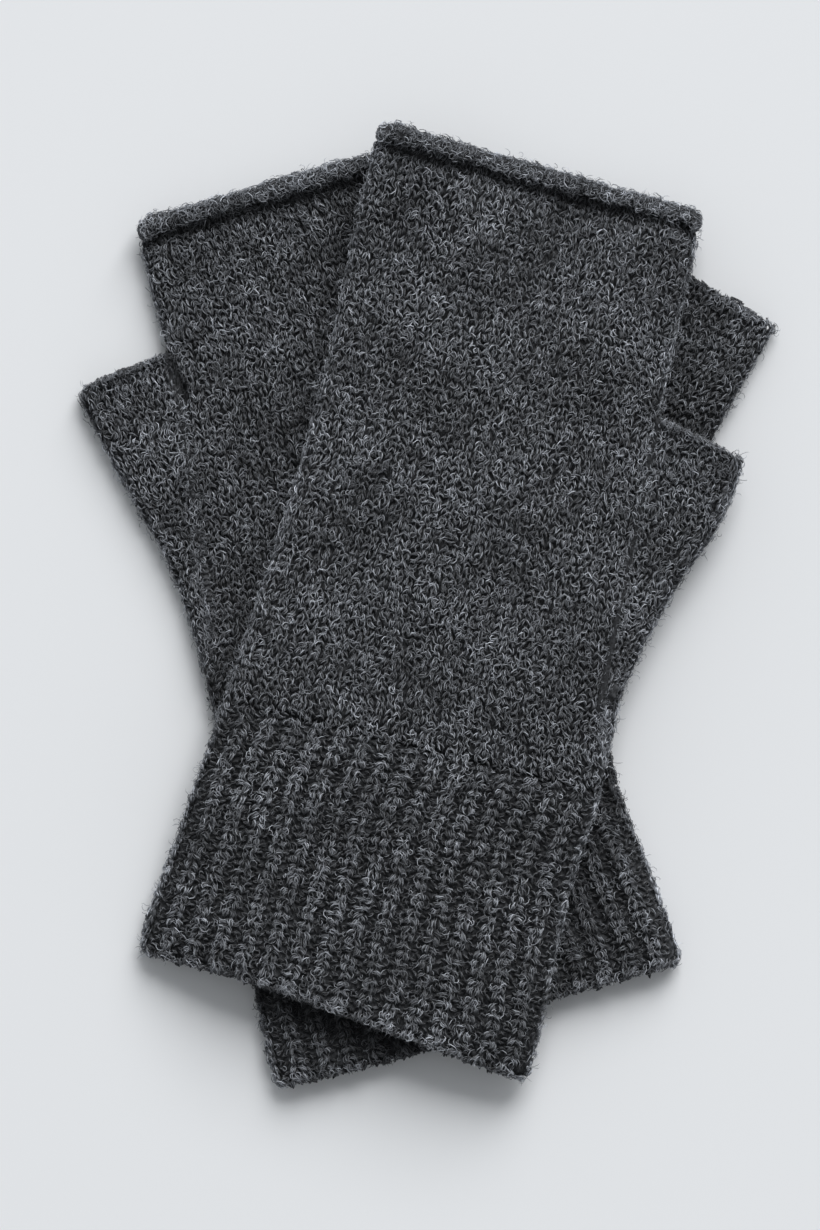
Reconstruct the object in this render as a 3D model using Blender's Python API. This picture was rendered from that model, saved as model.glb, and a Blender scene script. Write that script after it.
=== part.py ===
"""A pair of ribbed fingerless mittens in heathered wool, laid flat, one crossed on the other.

Each mitten is a flattened knit tube: a ribbed cuff, a plain hand whose finger end rolls forward, and
a thumb sleeve with its gusset. The lower mitten has a second sleeve at its other side. Along its side
folds each tube is parted into a back panel, which shows, and the palm panel that it lies on.

The lower mitten rests on the surface. The upper one rests on it and falls to the surface around it.
Sizes are in millimetres up to the last step. The frame is in metres, with +Z up, +Y towards the
finger ends and the origin under the middle of the pair.
"""

import math
from collections import namedtuple

import bmesh
import bpy
import numpy as np

MM = 0.001

# The cloth and its seams
WALL = 2.0
SLIT = 0.4
SEAM_GAP = 0.3
HEIGHT = 2 * WALL + SLIT
FOLD_RADIUS = HEIGHT / 2
FOLD_COLUMNS = 3

# The side folds stand a little higher than the cloth between them
SWELL = 0.5
SWELL_REACH = 5.0

# Cuff ribs: places across one rib, as shares of its pitch, and their heights, as shares of the relief
RIBS_ACROSS = 15
RIB_RELIEF = 0.9
RIB_SHAPE = ((0.0, 0.0), (0.22, 0.85), (0.5, 1.0), (0.78, 0.85))
CUFF_LENGTH = 64.3
RIB_FADE = 5.0

# The edge that rolls forward at the finger end
ROLL_WALL = 1.5
ROLL_RADIUS = 1.25
ROLL_TURN = math.radians(250)
ROLL_STEPS = 6
ROLL_FRONT = ROLL_RADIUS + ROLL_WALL / 2
ROLL_TOP = HEIGHT - ROLL_WALL / 2 + ROLL_RADIUS + ROLL_FRONT
ROLL_CORNER = 1.4

# The lip round a thumb opening
LIP_RISE = 0.5

# How the upper mitten lies on the lower one
LAYER_GAP = 0.3
LOWER_TOP = HEIGHT + RIB_RELIEF
FALL_START = 1.5
FALL_REACH = 24.0
ROLL_REACH = 16.0

HAND_COLUMNS = 12
PALM_COLUMNS = 12
THUMB_COLUMNS = 4
SLEEVE_COLUMNS = 5

# A row is a straight line across a piece, from its left end to its right end, in its mitten's own
# frame: across from the mitten's middle line and along from the cuff's edge. A fold of 1 is a closed
# side fold, and 0 is a seam. Steps are the rows of faces up to the next row.
Row = namedtuple(
    "Row",
    "left left_along right right_along left_fold right_fold wall steps",
    defaults=(1, 1, WALL, 2),
)

# Where a mitten lies: the middle of its cuff's edge, and its lean to the right in degrees
Place = namedtuple("Place", "x y lean")

UPPER_PLACE = Place(x=-21.9, y=-93.5, lean=13.9)
LOWER_PLACE = Place(x=11.6, y=-95.8, lean=-13.3)

UPPER_CUFF = (
    Row(-44.2, 3.1, 45.2, -4.3, steps=1),
    Row(-46.1, 5.4, 46.7, -2.2, steps=1),
    Row(-46.2, 9.5, 46.6, 3.0, steps=2),
    Row(-44.4, 26.0, 46.1, 21.0, steps=2),
    Row(-42.6, 44.0, 45.4, 42.0, steps=2),
    Row(-41.3, 59.3, 46.8, 59.3, steps=1),
    Row(-41.0, CUFF_LENGTH, 47.0, CUFF_LENGTH),
)
UPPER_HAND = (
    Row(-41.0, 64.6, 47.0, 64.6, steps=1),
    Row(-40.8, 67.4, 46.8, 67.5, right_fold=0, steps=1),
    Row(-39.8, 79.0, 43.3, 79.0, right_fold=0),
    Row(-38.3, 98.0, 42.2, 98.0, right_fold=0),
    Row(-37.3, 115.0, 41.4, 115.0, right_fold=0),
    Row(-36.8, 132.0, 40.6, 132.0, right_fold=0),
    Row(-36.8, 150.0, 39.9, 150.4, right_fold=0, steps=1),
    Row(-36.9, 153.5, 39.6, 153.5, steps=2),
    Row(-37.4, 168.0, 38.7, 168.0),
    Row(-38.1, 184.0, 38.5, 182.5, steps=1),
    Row(-38.1, 193.5, 38.0, 191.0, steps=1),
    Row(-37.4, 199.1, 37.3, 196.8, 0, 0, wall=ROLL_WALL),
)
UPPER_THUMB = (
    Row(43.3, 79.0, 46.8, 67.5, left_fold=0, steps=1),
    Row(42.9, 86.0, 46.4, 84.0, left_fold=0),
    Row(42.2, 98.0, 48.2, 97.0, left_fold=0),
    Row(41.4, 115.0, 52.9, 114.5, left_fold=0),
    Row(40.6, 132.0, 58.8, 130.0, left_fold=0),
    Row(40.1, 146.5, 60.6, 142.5, left_fold=0, steps=1),
    Row(39.95, 149.5, 60.2, 145.0, left_fold=0, steps=1),
    Row(39.9, 150.4, 58.6, 146.3, left_fold=0),
)
LOWER_CUFF = (
    Row(-46.6, -3.5, 46.7, 3.0, steps=1),
    Row(-48.0, -1.5, 48.0, 4.9, steps=1),
    Row(-48.2, 7.0, 47.3, 13.5, steps=2),
    Row(-47.4, 23.0, 45.2, 29.0, steps=2),
    Row(-45.2, 43.0, 43.0, 46.5, steps=2),
    Row(-43.6, 59.3, 43.0, 59.3, steps=1),
    Row(-43.2, CUFF_LENGTH, 43.0, CUFF_LENGTH),
)
LOWER_HAND = (
    Row(-43.2, 64.6, 43.0, 64.6, steps=1),
    Row(-42.7, 72.0, 42.9, 72.0, steps=1),
    Row(-42.5, 75.0, 42.7, 75.0, right_fold=0, steps=1),
    Row(-42.5, 89.0, 41.6, 89.0, right_fold=0, steps=1),
    Row(-42.4, 92.0, 41.36, 92.0, 0, 0, steps=1),
    Row(-38.9, 103.0, 40.5, 103.0, 0, 0, steps=1),
    Row(-37.5, 117.0, 39.4, 117.0, 0, 0, steps=1),
    Row(-37.2, 120.0, 39.2, 120.0, left_fold=0),
    Row(-35.8, 136.0, 38.7, 136.0, left_fold=0),
    Row(-34.5, 150.0, 38.4, 150.0, left_fold=0),
    Row(-33.5, 166.0, 38.0, 166.0, left_fold=0, steps=1),
    Row(-33.6, 169.5, 37.8, 170.0),
    Row(-34.0, 181.0, 36.8, 182.0, steps=1),
    Row(-33.9, 189.5, 34.4, 191.5, steps=1),
    Row(-33.0, 195.2, 30.6, 198.3, 0, 0, wall=ROLL_WALL),
)
LOWER_THUMB = (
    Row(-42.4, 92.0, -38.9, 103.0, right_fold=0, steps=1),
    Row(-42.9, 105.0, -38.2, 110.0, right_fold=0),
    Row(-44.8, 119.5, -37.2, 120.0, right_fold=0),
    Row(-49.3, 135.0, -35.8, 136.0, right_fold=0),
    Row(-53.2, 150.0, -34.5, 150.0, right_fold=0),
    Row(-55.4, 159.3, -33.75, 162.5, right_fold=0, steps=1),
    Row(-55.1, 161.9, -33.55, 165.3, right_fold=0, steps=1),
    Row(-53.6, 163.1, -33.5, 166.0, right_fold=0),
)
LOWER_SLEEVE = (
    Row(39.4, 117.0, 42.7, 75.0, steps=2),
    Row(49.8, 127.9, 57.7, 91.3, steps=2),
    Row(60.2, 138.7, 72.8, 107.6, steps=2),
    Row(70.6, 149.6, 87.8, 123.9, steps=2),
    Row(79.6, 158.9, 101.4, 138.7, steps=1),
    Row(80.8, 160.1, 102.6, 140.0, steps=1),
    Row(82.5, 159.0, 101.3, 141.6),
)

# How far each cuff's edge bows from a straight line: across, and towards the hand
HemBow = namedtuple("HemBow", "across rise")
UPPER_HEM = (HemBow(-46, 0), HemBow(-20, 1.9), HemBow(23, 0.9), HemBow(46, 0))
LOWER_HEM = (HemBow(-48, 0), HemBow(-12, -1.7), HemBow(16, 1.0), HemBow(48, 0))

Wool = namedtuple("Wool", "red green blue roughness")
CHARCOAL = Wool(0.052, 0.054, 0.060, 0.95)


def clear_scene():
    """Starts from an empty scene."""
    for item in list(bpy.data.objects):
        bpy.data.objects.remove(item, do_unlink=True)


def smooth_through(knots, values, at):
    """A smooth curve through the values at rising knots, with no overshoot between them."""
    knots, values = np.asarray(knots, float), np.asarray(values, float)
    spans = np.diff(knots)
    slopes = np.diff(values) / spans
    tangents = np.zeros(len(knots))
    tangents[0], tangents[-1] = slopes[0], slopes[-1]
    for i in range(1, len(knots) - 1):
        before, after = slopes[i - 1], slopes[i]
        if before * after > 0:
            tangents[i] = 2 * before * after / (before + after)
    at = min(max(at, knots[0]), knots[-1])
    i = min(int(np.searchsorted(knots, at, side="right")) - 1, len(spans) - 1)
    share = (at - knots[i]) / spans[i]
    turn = share * share * (3 - 2 * share)
    start = share * (1 - share) ** 2 * spans[i] * tangents[i]
    end = share * share * (share - 1) * spans[i] * tangents[i + 1]
    return values[i] + turn * (values[i + 1] - values[i]) + start + end


def ease(share):
    """0 up to a share of 0, 1 from a share of 1, and smooth between."""
    share = min(max(share, 0.0), 1.0)
    return share * share * (3 - 2 * share)


def fall(distance, start, reach):
    """1 up to the start, 0 from the reach beyond it, as cloth falls from an edge to the surface."""
    return 1 - ease((distance - start) / reach)


def stepped(table):
    """The table's rows with the smooth rows between them, one for each row of corners."""
    knots = range(len(table))
    rows = []
    for i, row in enumerate(table[:-1]):
        rows.append(row)
        for step in range(1, row.steps):
            at = i + step / row.steps
            places = Row._fields[:-1]
            columns = [smooth_through(knots, [getattr(r, p) for r in table], at) for p in places]
            rows.append(Row(*columns))
    rows.append(table[-1])
    return rows


def swell(distance):
    """How much of the swell stands this far in from a side fold's outer line."""
    return math.sin(math.pi * min(distance / (2 * SWELL_REACH), 1))


class Profile:
    """A panel's section along one row: where its columns lie and how high its two faces are."""

    def __init__(self, flats, heights=None, swells=True):
        self.flats = flats
        self.heights = heights
        self.swells = swells
        self.columns = 2 * FOLD_COLUMNS + len(flats) - 1

    def at(self, row, width, column, relief):
        """Distances along the row and heights of the outer and inner face at a column."""
        last_flat = len(self.flats) - 1
        flat = column - FOLD_COLUMNS
        if 0 <= flat <= last_flat:
            distance = FOLD_RADIUS + self.flats[flat] * (width - 2 * FOLD_RADIUS)
            raised = relief * RIB_RELIEF * self.heights[flat] if self.heights else 0
            if self.swells:
                left = row.left_fold * swell(distance)
                right = row.right_fold * swell(width - distance)
                raised = max(raised, SWELL * left, SWELL * right)
            return distance, HEIGHT + raised, distance, HEIGHT - row.wall
        turned = -flat if flat < 0 else flat - last_flat
        angle = math.pi / 2 * turned / FOLD_COLUMNS
        fold = row.left_fold if flat < 0 else row.right_fold
        outer = FOLD_RADIUS * math.sin(angle)
        inner = (FOLD_RADIUS - row.wall * fold) * math.sin(angle)
        drop = (1 - math.cos(angle)) * fold
        outer_high = HEIGHT - (FOLD_RADIUS - SEAM_GAP / 2) * drop
        inner_high = HEIGHT - row.wall - (FOLD_RADIUS - SEAM_GAP / 2 - row.wall) * drop
        if self.swells:
            outer_high += SWELL * fold * swell(FOLD_RADIUS - outer)
        if flat < 0:
            return FOLD_RADIUS - outer, outer_high, FOLD_RADIUS - inner, inner_high
        side = width - FOLD_RADIUS
        return side + outer, outer_high, side + inner, inner_high


def even_flats(columns):
    """Places of evenly spaced columns, as shares of the way between the side folds."""
    return [i / columns for i in range(columns + 1)]


def rib_flats():
    """Places of the ribs' columns, as shares of the way between the side folds, and their heights."""
    flats, heights = [], []
    for rib in range(RIBS_ACROSS):
        for place, height in RIB_SHAPE:
            flats.append((rib + place) / RIBS_ACROSS)
            heights.append(height)
    return flats + [1.0], heights + [0.0]


class Mitten:
    """A mitten's frame: it turns places across, along and up into places in the pair's frame."""

    def __init__(self, place, hem, base):
        self.place = place
        self.hem = hem
        self.base = base
        self.sine = math.sin(math.radians(place.lean))
        self.cosine = math.cos(math.radians(place.lean))

    def flat(self, across, along):
        """The place seen from above, with the cuff's edge bowed."""
        if along < CUFF_LENGTH:
            bow = smooth_through([h.across for h in self.hem], [h.rise for h in self.hem], across)
            along += bow * (1 - max(along, 0) / CUFF_LENGTH)
        x = self.place.x + across * self.cosine + along * self.sine
        y = self.place.y - across * self.sine + along * self.cosine
        return x, y

    def point(self, across, along, up):
        """The place in metres, on what the mitten lies on."""
        x, y = self.flat(across, along)
        return x * MM, y * MM, (self.base(x, y) + up) * MM

    def outline(self, table, front=0.0):
        """A piece's outline seen from above, with its last row moved forward."""
        rows = stepped(table)
        rows[-1] = rows[-1]._replace(
            left_along=rows[-1].left_along + front, right_along=rows[-1].right_along + front
        )
        left = [self.flat(r.left, r.left_along) for r in rows]
        right = [self.flat(r.right, r.right_along) for r in rows]
        return np.array(left + right[::-1])


def distance_outside(outline, x, y):
    """How far a place lies outside an outline: negative inside."""
    start, end = outline, np.roll(outline, -1, axis=0)
    way, reached = end - start, np.array((x, y)) - start
    share = np.clip((reached * way).sum(1) / (way * way).sum(1), 0, 1)
    nearest = np.linalg.norm(reached - share[:, None] * way, axis=1).min()
    above = (start[:, 1] > y) != (end[:, 1] > y)
    crossing = start[above, 0] + (y - start[above, 1]) / way[above, 1] * way[above, 0]
    return -nearest if (crossing > x).sum() % 2 else nearest


def resting_on(lower):
    """The height of the upper mitten's underside: on the lower mitten and its roll, then falling."""
    outlines = [
        lower.outline(LOWER_CUFF),
        lower.outline(LOWER_HAND, front=ROLL_FRONT),
        lower.outline(LOWER_THUMB),
        lower.outline(LOWER_SLEEVE),
    ]
    end = LOWER_HAND[-1]
    roll_left = np.array(lower.flat(end.left, end.left_along))
    roll_right = np.array(lower.flat(end.right, end.right_along))

    def base(x, y):
        outside = min(distance_outside(outline, x, y) for outline in outlines)
        way = roll_right - roll_left
        share = np.clip(np.dot(np.array((x, y)) - roll_left, way) / np.dot(way, way), 0, 1)
        from_roll = np.linalg.norm(np.array((x, y)) - roll_left - share * way)
        body = (LOWER_TOP + LAYER_GAP) * fall(outside, FALL_START, FALL_REACH)
        return body + (ROLL_TOP - LOWER_TOP) * fall(from_roll, ROLL_FRONT, ROLL_REACH)

    return base


def wool(name):
    """A material of dark grey wool for one piece."""
    material = bpy.data.materials.new(name + "_wool")
    material.use_nodes = True
    shader = material.node_tree.nodes["Principled BSDF"]
    shader.inputs["Base Color"].default_value = (CHARCOAL.red, CHARCOAL.green, CHARCOAL.blue, 1)
    shader.inputs["Roughness"].default_value = CHARCOAL.roughness
    shader.inputs["Metallic"].default_value = 0
    return material


def wall_of_cloth(collection, name, columns, rows, corner):
    """A closed wall from a grid of corners: its inner face, and its outer face extruded from it."""
    mesh = bmesh.new()
    bmesh.ops.create_grid(mesh, x_segments=columns, y_segments=rows, size=0.5)
    extruded = bmesh.ops.extrude_face_region(mesh, geom=mesh.faces[:])
    outer = {item for item in extruded["geom"] if isinstance(item, bmesh.types.BMVert)}
    for vertex in mesh.verts:
        column = round((vertex.co.x + 0.5) * columns)
        row = round((vertex.co.y + 0.5) * rows)
        vertex.co = corner(column, row, vertex in outer)
    bmesh.ops.recalc_face_normals(mesh, faces=mesh.faces[:])
    if mesh.calc_volume(signed=True) < 0:
        bmesh.ops.reverse_faces(mesh, faces=mesh.faces[:])
    data = bpy.data.meshes.new(name)
    mesh.to_mesh(data)
    mesh.free()
    data.shade_smooth()
    data.set_sharp_from_angle(angle=math.radians(40))
    data.materials.append(wool(name))
    panel = bpy.data.objects.new(name, data)
    collection.objects.link(panel)
    return panel


def row_geometry(row):
    """A row's width and its direction from left to right, across and along."""
    across, along = row.right - row.left, row.right_along - row.left_along
    width = math.hypot(across, along)
    return width, across / width, along / width


def back_panel(collection, mitten, name, table, profile, relief=None, roll=False, lip=False):
    """The panel that shows, with its outer face up."""
    rows = stepped(table)
    turns = [ROLL_TURN * (i + 1) / ROLL_STEPS for i in range(ROLL_STEPS)] if roll else []

    def corner(column, index, is_outer):
        row = rows[min(index, len(rows) - 1)]
        width, across, along = row_geometry(row)
        raised = relief(row) if relief else 0
        outer, outer_high, inner, inner_high = profile.at(row, width, column, raised)
        distance = outer if is_outer else inner
        up = outer_high if is_outer else inner_high
        forward = 0.0
        if index >= len(rows):
            turn = turns[index - len(rows)]
            radius = ROLL_RADIUS - ROLL_WALL / 2 if is_outer else ROLL_FRONT
            middle = HEIGHT - ROLL_WALL / 2 + ROLL_RADIUS
            to_side = min(distance, width - distance)
            pulled = ROLL_CORNER * (1 - ease(to_side / FOLD_RADIUS)) * math.sin(turn / 2)
            forward = radius * math.sin(turn) - pulled
            up = middle - radius * math.cos(turn)
        if lip and is_outer:
            up += LIP_RISE * ease(1 - (len(rows) - 1 - index) / 3)
        place_across = row.left + distance * across - forward * along
        place_along = row.left_along + distance * along + forward * across
        return mitten.point(place_across, place_along, up)

    return wall_of_cloth(collection, name, profile.columns, len(rows) + len(turns) - 1, corner)


def palm_panel(collection, mitten, name, table, profile):
    """The panel underneath, with its outer face down and flat."""
    rows = stepped(table)

    def corner(column, index, is_outer):
        row = rows[index]
        width, across, along = row_geometry(row)
        outer, outer_high, inner, inner_high = profile.at(row, width, column, 0)
        distance = outer if is_outer else inner
        up = HEIGHT - (outer_high if is_outer else inner_high)
        place_across = row.left + distance * across
        place_along = row.left_along + distance * along
        return mitten.point(place_across, place_along, up)

    return wall_of_cloth(collection, name, profile.columns, len(rows) - 1, corner)


def with_seam_gap(table, side):
    """The table with its seams on one side moved in by the gap."""
    rows = []
    for row in table:
        if side == "right":
            rows.append(row._replace(right=row.right - SEAM_GAP * (1 - row.right_fold)))
        else:
            rows.append(row._replace(left=row.left + SEAM_GAP * (1 - row.left_fold)))
    return rows


def rib_relief(row):
    """How much of the ribs' relief stands on a cuff's row: it fades out at the hand."""
    along = (row.left_along + row.right_along) / 2
    return ease((CUFF_LENGTH - along) / RIB_FADE)


def cuff(collection, mitten, name, table):
    """A ribbed cuff's two panels."""
    flats, heights = rib_flats()
    back_panel(collection, mitten, name + "_back", table, Profile(flats, heights), relief=rib_relief)
    palm = Profile(even_flats(PALM_COLUMNS), swells=False)
    palm_panel(collection, mitten, name + "_palm", table, palm)


def hand(collection, mitten, name, table):
    """A hand's two panels, apart from its thumb and sleeve by the gap at each seam."""
    apart = with_seam_gap(with_seam_gap(table, "left"), "right")
    back = Profile(even_flats(HAND_COLUMNS))
    palm = Profile(even_flats(PALM_COLUMNS), swells=False)
    back_panel(collection, mitten, name + "_back", apart, back, roll=True)
    palm_panel(collection, mitten, name + "_palm", apart, palm)


def sleeve(collection, mitten, name, table, columns):
    """A thumb's or side sleeve's two panels."""
    flats = even_flats(columns)
    back_panel(collection, mitten, name + "_back", table, Profile(flats), lip=True)
    palm_panel(collection, mitten, name + "_palm", table, Profile(flats, swells=False))


def build():
    """Both mittens, the lower one first."""
    clear_scene()
    collection = bpy.data.collections.new("fingerless_mittens")
    bpy.context.scene.collection.children.link(collection)
    lower = Mitten(LOWER_PLACE, LOWER_HEM, lambda x, y: 0.0)
    upper = Mitten(UPPER_PLACE, UPPER_HEM, resting_on(lower))
    cuff(collection, lower, "lower_cuff", LOWER_CUFF)
    hand(collection, lower, "lower_hand", LOWER_HAND)
    sleeve(collection, lower, "lower_thumb", LOWER_THUMB, THUMB_COLUMNS)
    sleeve(collection, lower, "lower_side_sleeve", LOWER_SLEEVE, SLEEVE_COLUMNS)
    cuff(collection, upper, "upper_cuff", UPPER_CUFF)
    hand(collection, upper, "upper_hand", UPPER_HAND)
    sleeve(collection, upper, "upper_thumb", UPPER_THUMB, THUMB_COLUMNS)


build()
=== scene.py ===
"""The looks of a pair of ribbed fingerless mittens in dark heathered wool, laid crossed on a pale floor.

Each knit tube is a thin shell on the form of its packed panels. On the shells lie the stitches of the
knit, the loops of the rolled and cast-on edges, and a nap of loose wool. The tables of rows, places
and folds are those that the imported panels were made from, without the gaps at their seams. Sizes are
in millimetres until a mesh is made.
"""

import math
from collections import namedtuple

import bmesh
import bpy
import numpy as np
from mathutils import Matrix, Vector


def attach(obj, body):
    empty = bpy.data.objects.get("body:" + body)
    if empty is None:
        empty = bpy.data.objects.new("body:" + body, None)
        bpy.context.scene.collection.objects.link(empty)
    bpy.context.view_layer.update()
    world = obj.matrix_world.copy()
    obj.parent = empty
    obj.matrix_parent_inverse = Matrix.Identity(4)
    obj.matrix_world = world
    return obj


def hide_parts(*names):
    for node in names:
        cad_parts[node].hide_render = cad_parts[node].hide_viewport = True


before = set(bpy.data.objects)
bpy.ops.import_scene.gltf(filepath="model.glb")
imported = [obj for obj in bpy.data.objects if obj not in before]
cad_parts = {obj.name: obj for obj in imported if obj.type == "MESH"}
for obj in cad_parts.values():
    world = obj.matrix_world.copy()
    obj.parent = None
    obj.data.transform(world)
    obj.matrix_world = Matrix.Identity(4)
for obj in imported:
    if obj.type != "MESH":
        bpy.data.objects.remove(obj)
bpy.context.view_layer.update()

MM = 0.001
SEED = 31

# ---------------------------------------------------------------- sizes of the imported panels

HEIGHT = 4.4
FOLD_RADIUS = HEIGHT / 2
SWELL = 0.5
SWELL_REACH = 5.0

RIBS_ACROSS = 15
RIB_RELIEF = 0.9
RIB_PLACES = (0.0, 0.22, 0.5, 0.78, 1.0)
RIB_HEIGHTS = (0.0, 0.85, 1.0, 0.85, 0.0)
CUFF_LENGTH = 64.3
RIB_FADE = 5.0

# A wave: how far it goes, over what length, and how far it is shifted
Wave = namedtuple("Wave", "far over shift", defaults=(0.0,))

# How ribs sway sideways, half a rib's width and the width of its slopes, all as shares of the pitch
RIB_WAVES = (Wave(0.07, 9.0), Wave(0.05, 4.1))
RIB_HALF = 0.46
RIB_SLOPE = 0.16

# How uneven a roll is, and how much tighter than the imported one
ROLL_WAVES = (Wave(0.16, 2.3), Wave(0.14, 5.7, 1.3))
ROLL_TIGHTER = 0.1

ROLL_WALL = 1.5
ROLL_RADIUS = 1.25
ROLL_TURN = math.radians(250)
ROLL_FRONT = ROLL_RADIUS + ROLL_WALL / 2
ROLL_MIDDLE = HEIGHT - ROLL_WALL / 2 + ROLL_RADIUS
ROLL_CORNER = 1.4
ROLL_STEPS = 25
LIP_RISE = 0.5
LIP_REACH = 6.0

LAYER_GAP = 0.3
LOWER_TOP = HEIGHT + RIB_RELIEF
FALL_START = 1.5
FALL_REACH = 24.0
ROLL_REACH = 16.0

# A row is a straight line across a piece, in its mitten's own frame: across from the mitten's middle
# line and along from the cuff's edge. A fold of 1 is a closed side fold, and 0 is a seam.
Row = namedtuple("Row", "left left_along right right_along left_fold right_fold", defaults=(1, 1))

# Where a mitten lies: the middle of its cuff's edge, and its lean to the right in degrees
Place = namedtuple("Place", "x y lean")

UPPER_PLACE = Place(x=-21.9, y=-93.5, lean=13.9)
LOWER_PLACE = Place(x=11.6, y=-95.8, lean=-13.3)

UPPER_CUFF = (
    Row(-44.2, 3.1, 45.2, -4.3),
    Row(-46.1, 5.4, 46.7, -2.2),
    Row(-46.2, 9.5, 46.6, 3.0),
    Row(-44.4, 26.0, 46.1, 21.0),
    Row(-42.6, 44.0, 45.4, 42.0),
    Row(-41.3, 59.3, 46.8, 59.3),
    Row(-41.0, CUFF_LENGTH, 47.0, CUFF_LENGTH),
)
UPPER_HAND = (
    Row(-41.0, 64.3, 47.0, 64.3),
    Row(-40.8, 67.4, 46.8, 67.5, right_fold=0),
    Row(-39.8, 79.0, 43.3, 79.0, right_fold=0),
    Row(-38.3, 98.0, 42.2, 98.0, right_fold=0),
    Row(-37.3, 115.0, 41.4, 115.0, right_fold=0),
    Row(-36.8, 132.0, 40.6, 132.0, right_fold=0),
    Row(-36.8, 150.0, 39.9, 150.4, right_fold=0),
    Row(-36.9, 153.5, 39.6, 153.5),
    Row(-37.4, 168.0, 38.7, 168.0),
    Row(-38.1, 184.0, 38.5, 182.5),
    Row(-38.1, 193.5, 38.0, 191.0),
    Row(-37.4, 199.1, 37.3, 196.8, 0, 0),
)
UPPER_THUMB = (
    Row(43.3, 79.0, 46.8, 67.5, left_fold=0),
    Row(42.9, 86.0, 46.4, 84.0, left_fold=0),
    Row(42.2, 98.0, 48.2, 97.0, left_fold=0),
    Row(41.4, 115.0, 52.9, 114.5, left_fold=0),
    Row(40.6, 132.0, 58.8, 130.0, left_fold=0),
    Row(40.1, 146.5, 60.6, 142.5, left_fold=0),
    Row(39.95, 149.5, 60.2, 145.0, left_fold=0),
    Row(39.9, 150.4, 58.6, 146.3, left_fold=0),
)
LOWER_CUFF = (
    Row(-46.6, -3.5, 46.7, 3.0),
    Row(-48.0, -1.5, 48.0, 4.9),
    Row(-48.2, 7.0, 47.3, 13.5),
    Row(-47.4, 23.0, 45.2, 29.0),
    Row(-45.2, 43.0, 43.0, 46.5),
    Row(-43.6, 59.3, 43.0, 59.3),
    Row(-43.2, CUFF_LENGTH, 43.0, CUFF_LENGTH),
)
LOWER_HAND = (
    Row(-43.2, 64.3, 43.0, 64.3),
    Row(-42.7, 72.0, 42.9, 72.0),
    Row(-42.5, 75.0, 42.7, 75.0, right_fold=0),
    Row(-42.5, 89.0, 41.6, 89.0, right_fold=0),
    Row(-42.4, 92.0, 41.36, 92.0, 0, 0),
    Row(-38.9, 103.0, 40.5, 103.0, 0, 0),
    Row(-37.5, 117.0, 39.4, 117.0, 0, 0),
    Row(-37.2, 120.0, 39.2, 120.0, left_fold=0),
    Row(-35.8, 136.0, 38.7, 136.0, left_fold=0),
    Row(-34.5, 150.0, 38.4, 150.0, left_fold=0),
    Row(-33.5, 166.0, 38.0, 166.0, left_fold=0),
    Row(-33.6, 169.5, 37.8, 170.0),
    Row(-34.0, 181.0, 36.8, 182.0),
    Row(-33.9, 189.5, 34.4, 191.5),
    Row(-33.0, 195.2, 30.6, 198.3, 0, 0),
)
LOWER_THUMB = (
    Row(-42.4, 92.0, -38.9, 103.0, right_fold=0),
    Row(-42.9, 105.0, -38.2, 110.0, right_fold=0),
    Row(-44.8, 119.5, -37.2, 120.0, right_fold=0),
    Row(-49.3, 135.0, -35.8, 136.0, right_fold=0),
    Row(-53.2, 150.0, -34.5, 150.0, right_fold=0),
    Row(-55.4, 159.3, -33.75, 162.5, right_fold=0),
    Row(-55.1, 161.9, -33.55, 165.3, right_fold=0),
    Row(-53.6, 163.1, -33.5, 166.0, right_fold=0),
)
LOWER_SLEEVE = (
    Row(39.4, 117.0, 42.7, 75.0),
    Row(49.8, 127.9, 57.7, 91.3),
    Row(60.2, 138.7, 72.8, 107.6),
    Row(70.6, 149.6, 87.8, 123.9),
    Row(79.6, 158.9, 101.4, 138.7),
    Row(80.8, 160.1, 102.6, 140.0),
    Row(82.5, 159.0, 101.3, 141.6),
)

# How far each cuff's edge bows from a straight line: across, and towards the hand
HemBow = namedtuple("HemBow", "across rise")
UPPER_HEM = (HemBow(-46, 0), HemBow(-20, 1.9), HemBow(23, 0.9), HemBow(46, 0))
LOWER_HEM = (HemBow(-48, 0), HemBow(-12, -1.7), HemBow(16, 1.0), HemBow(48, 0))
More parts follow.
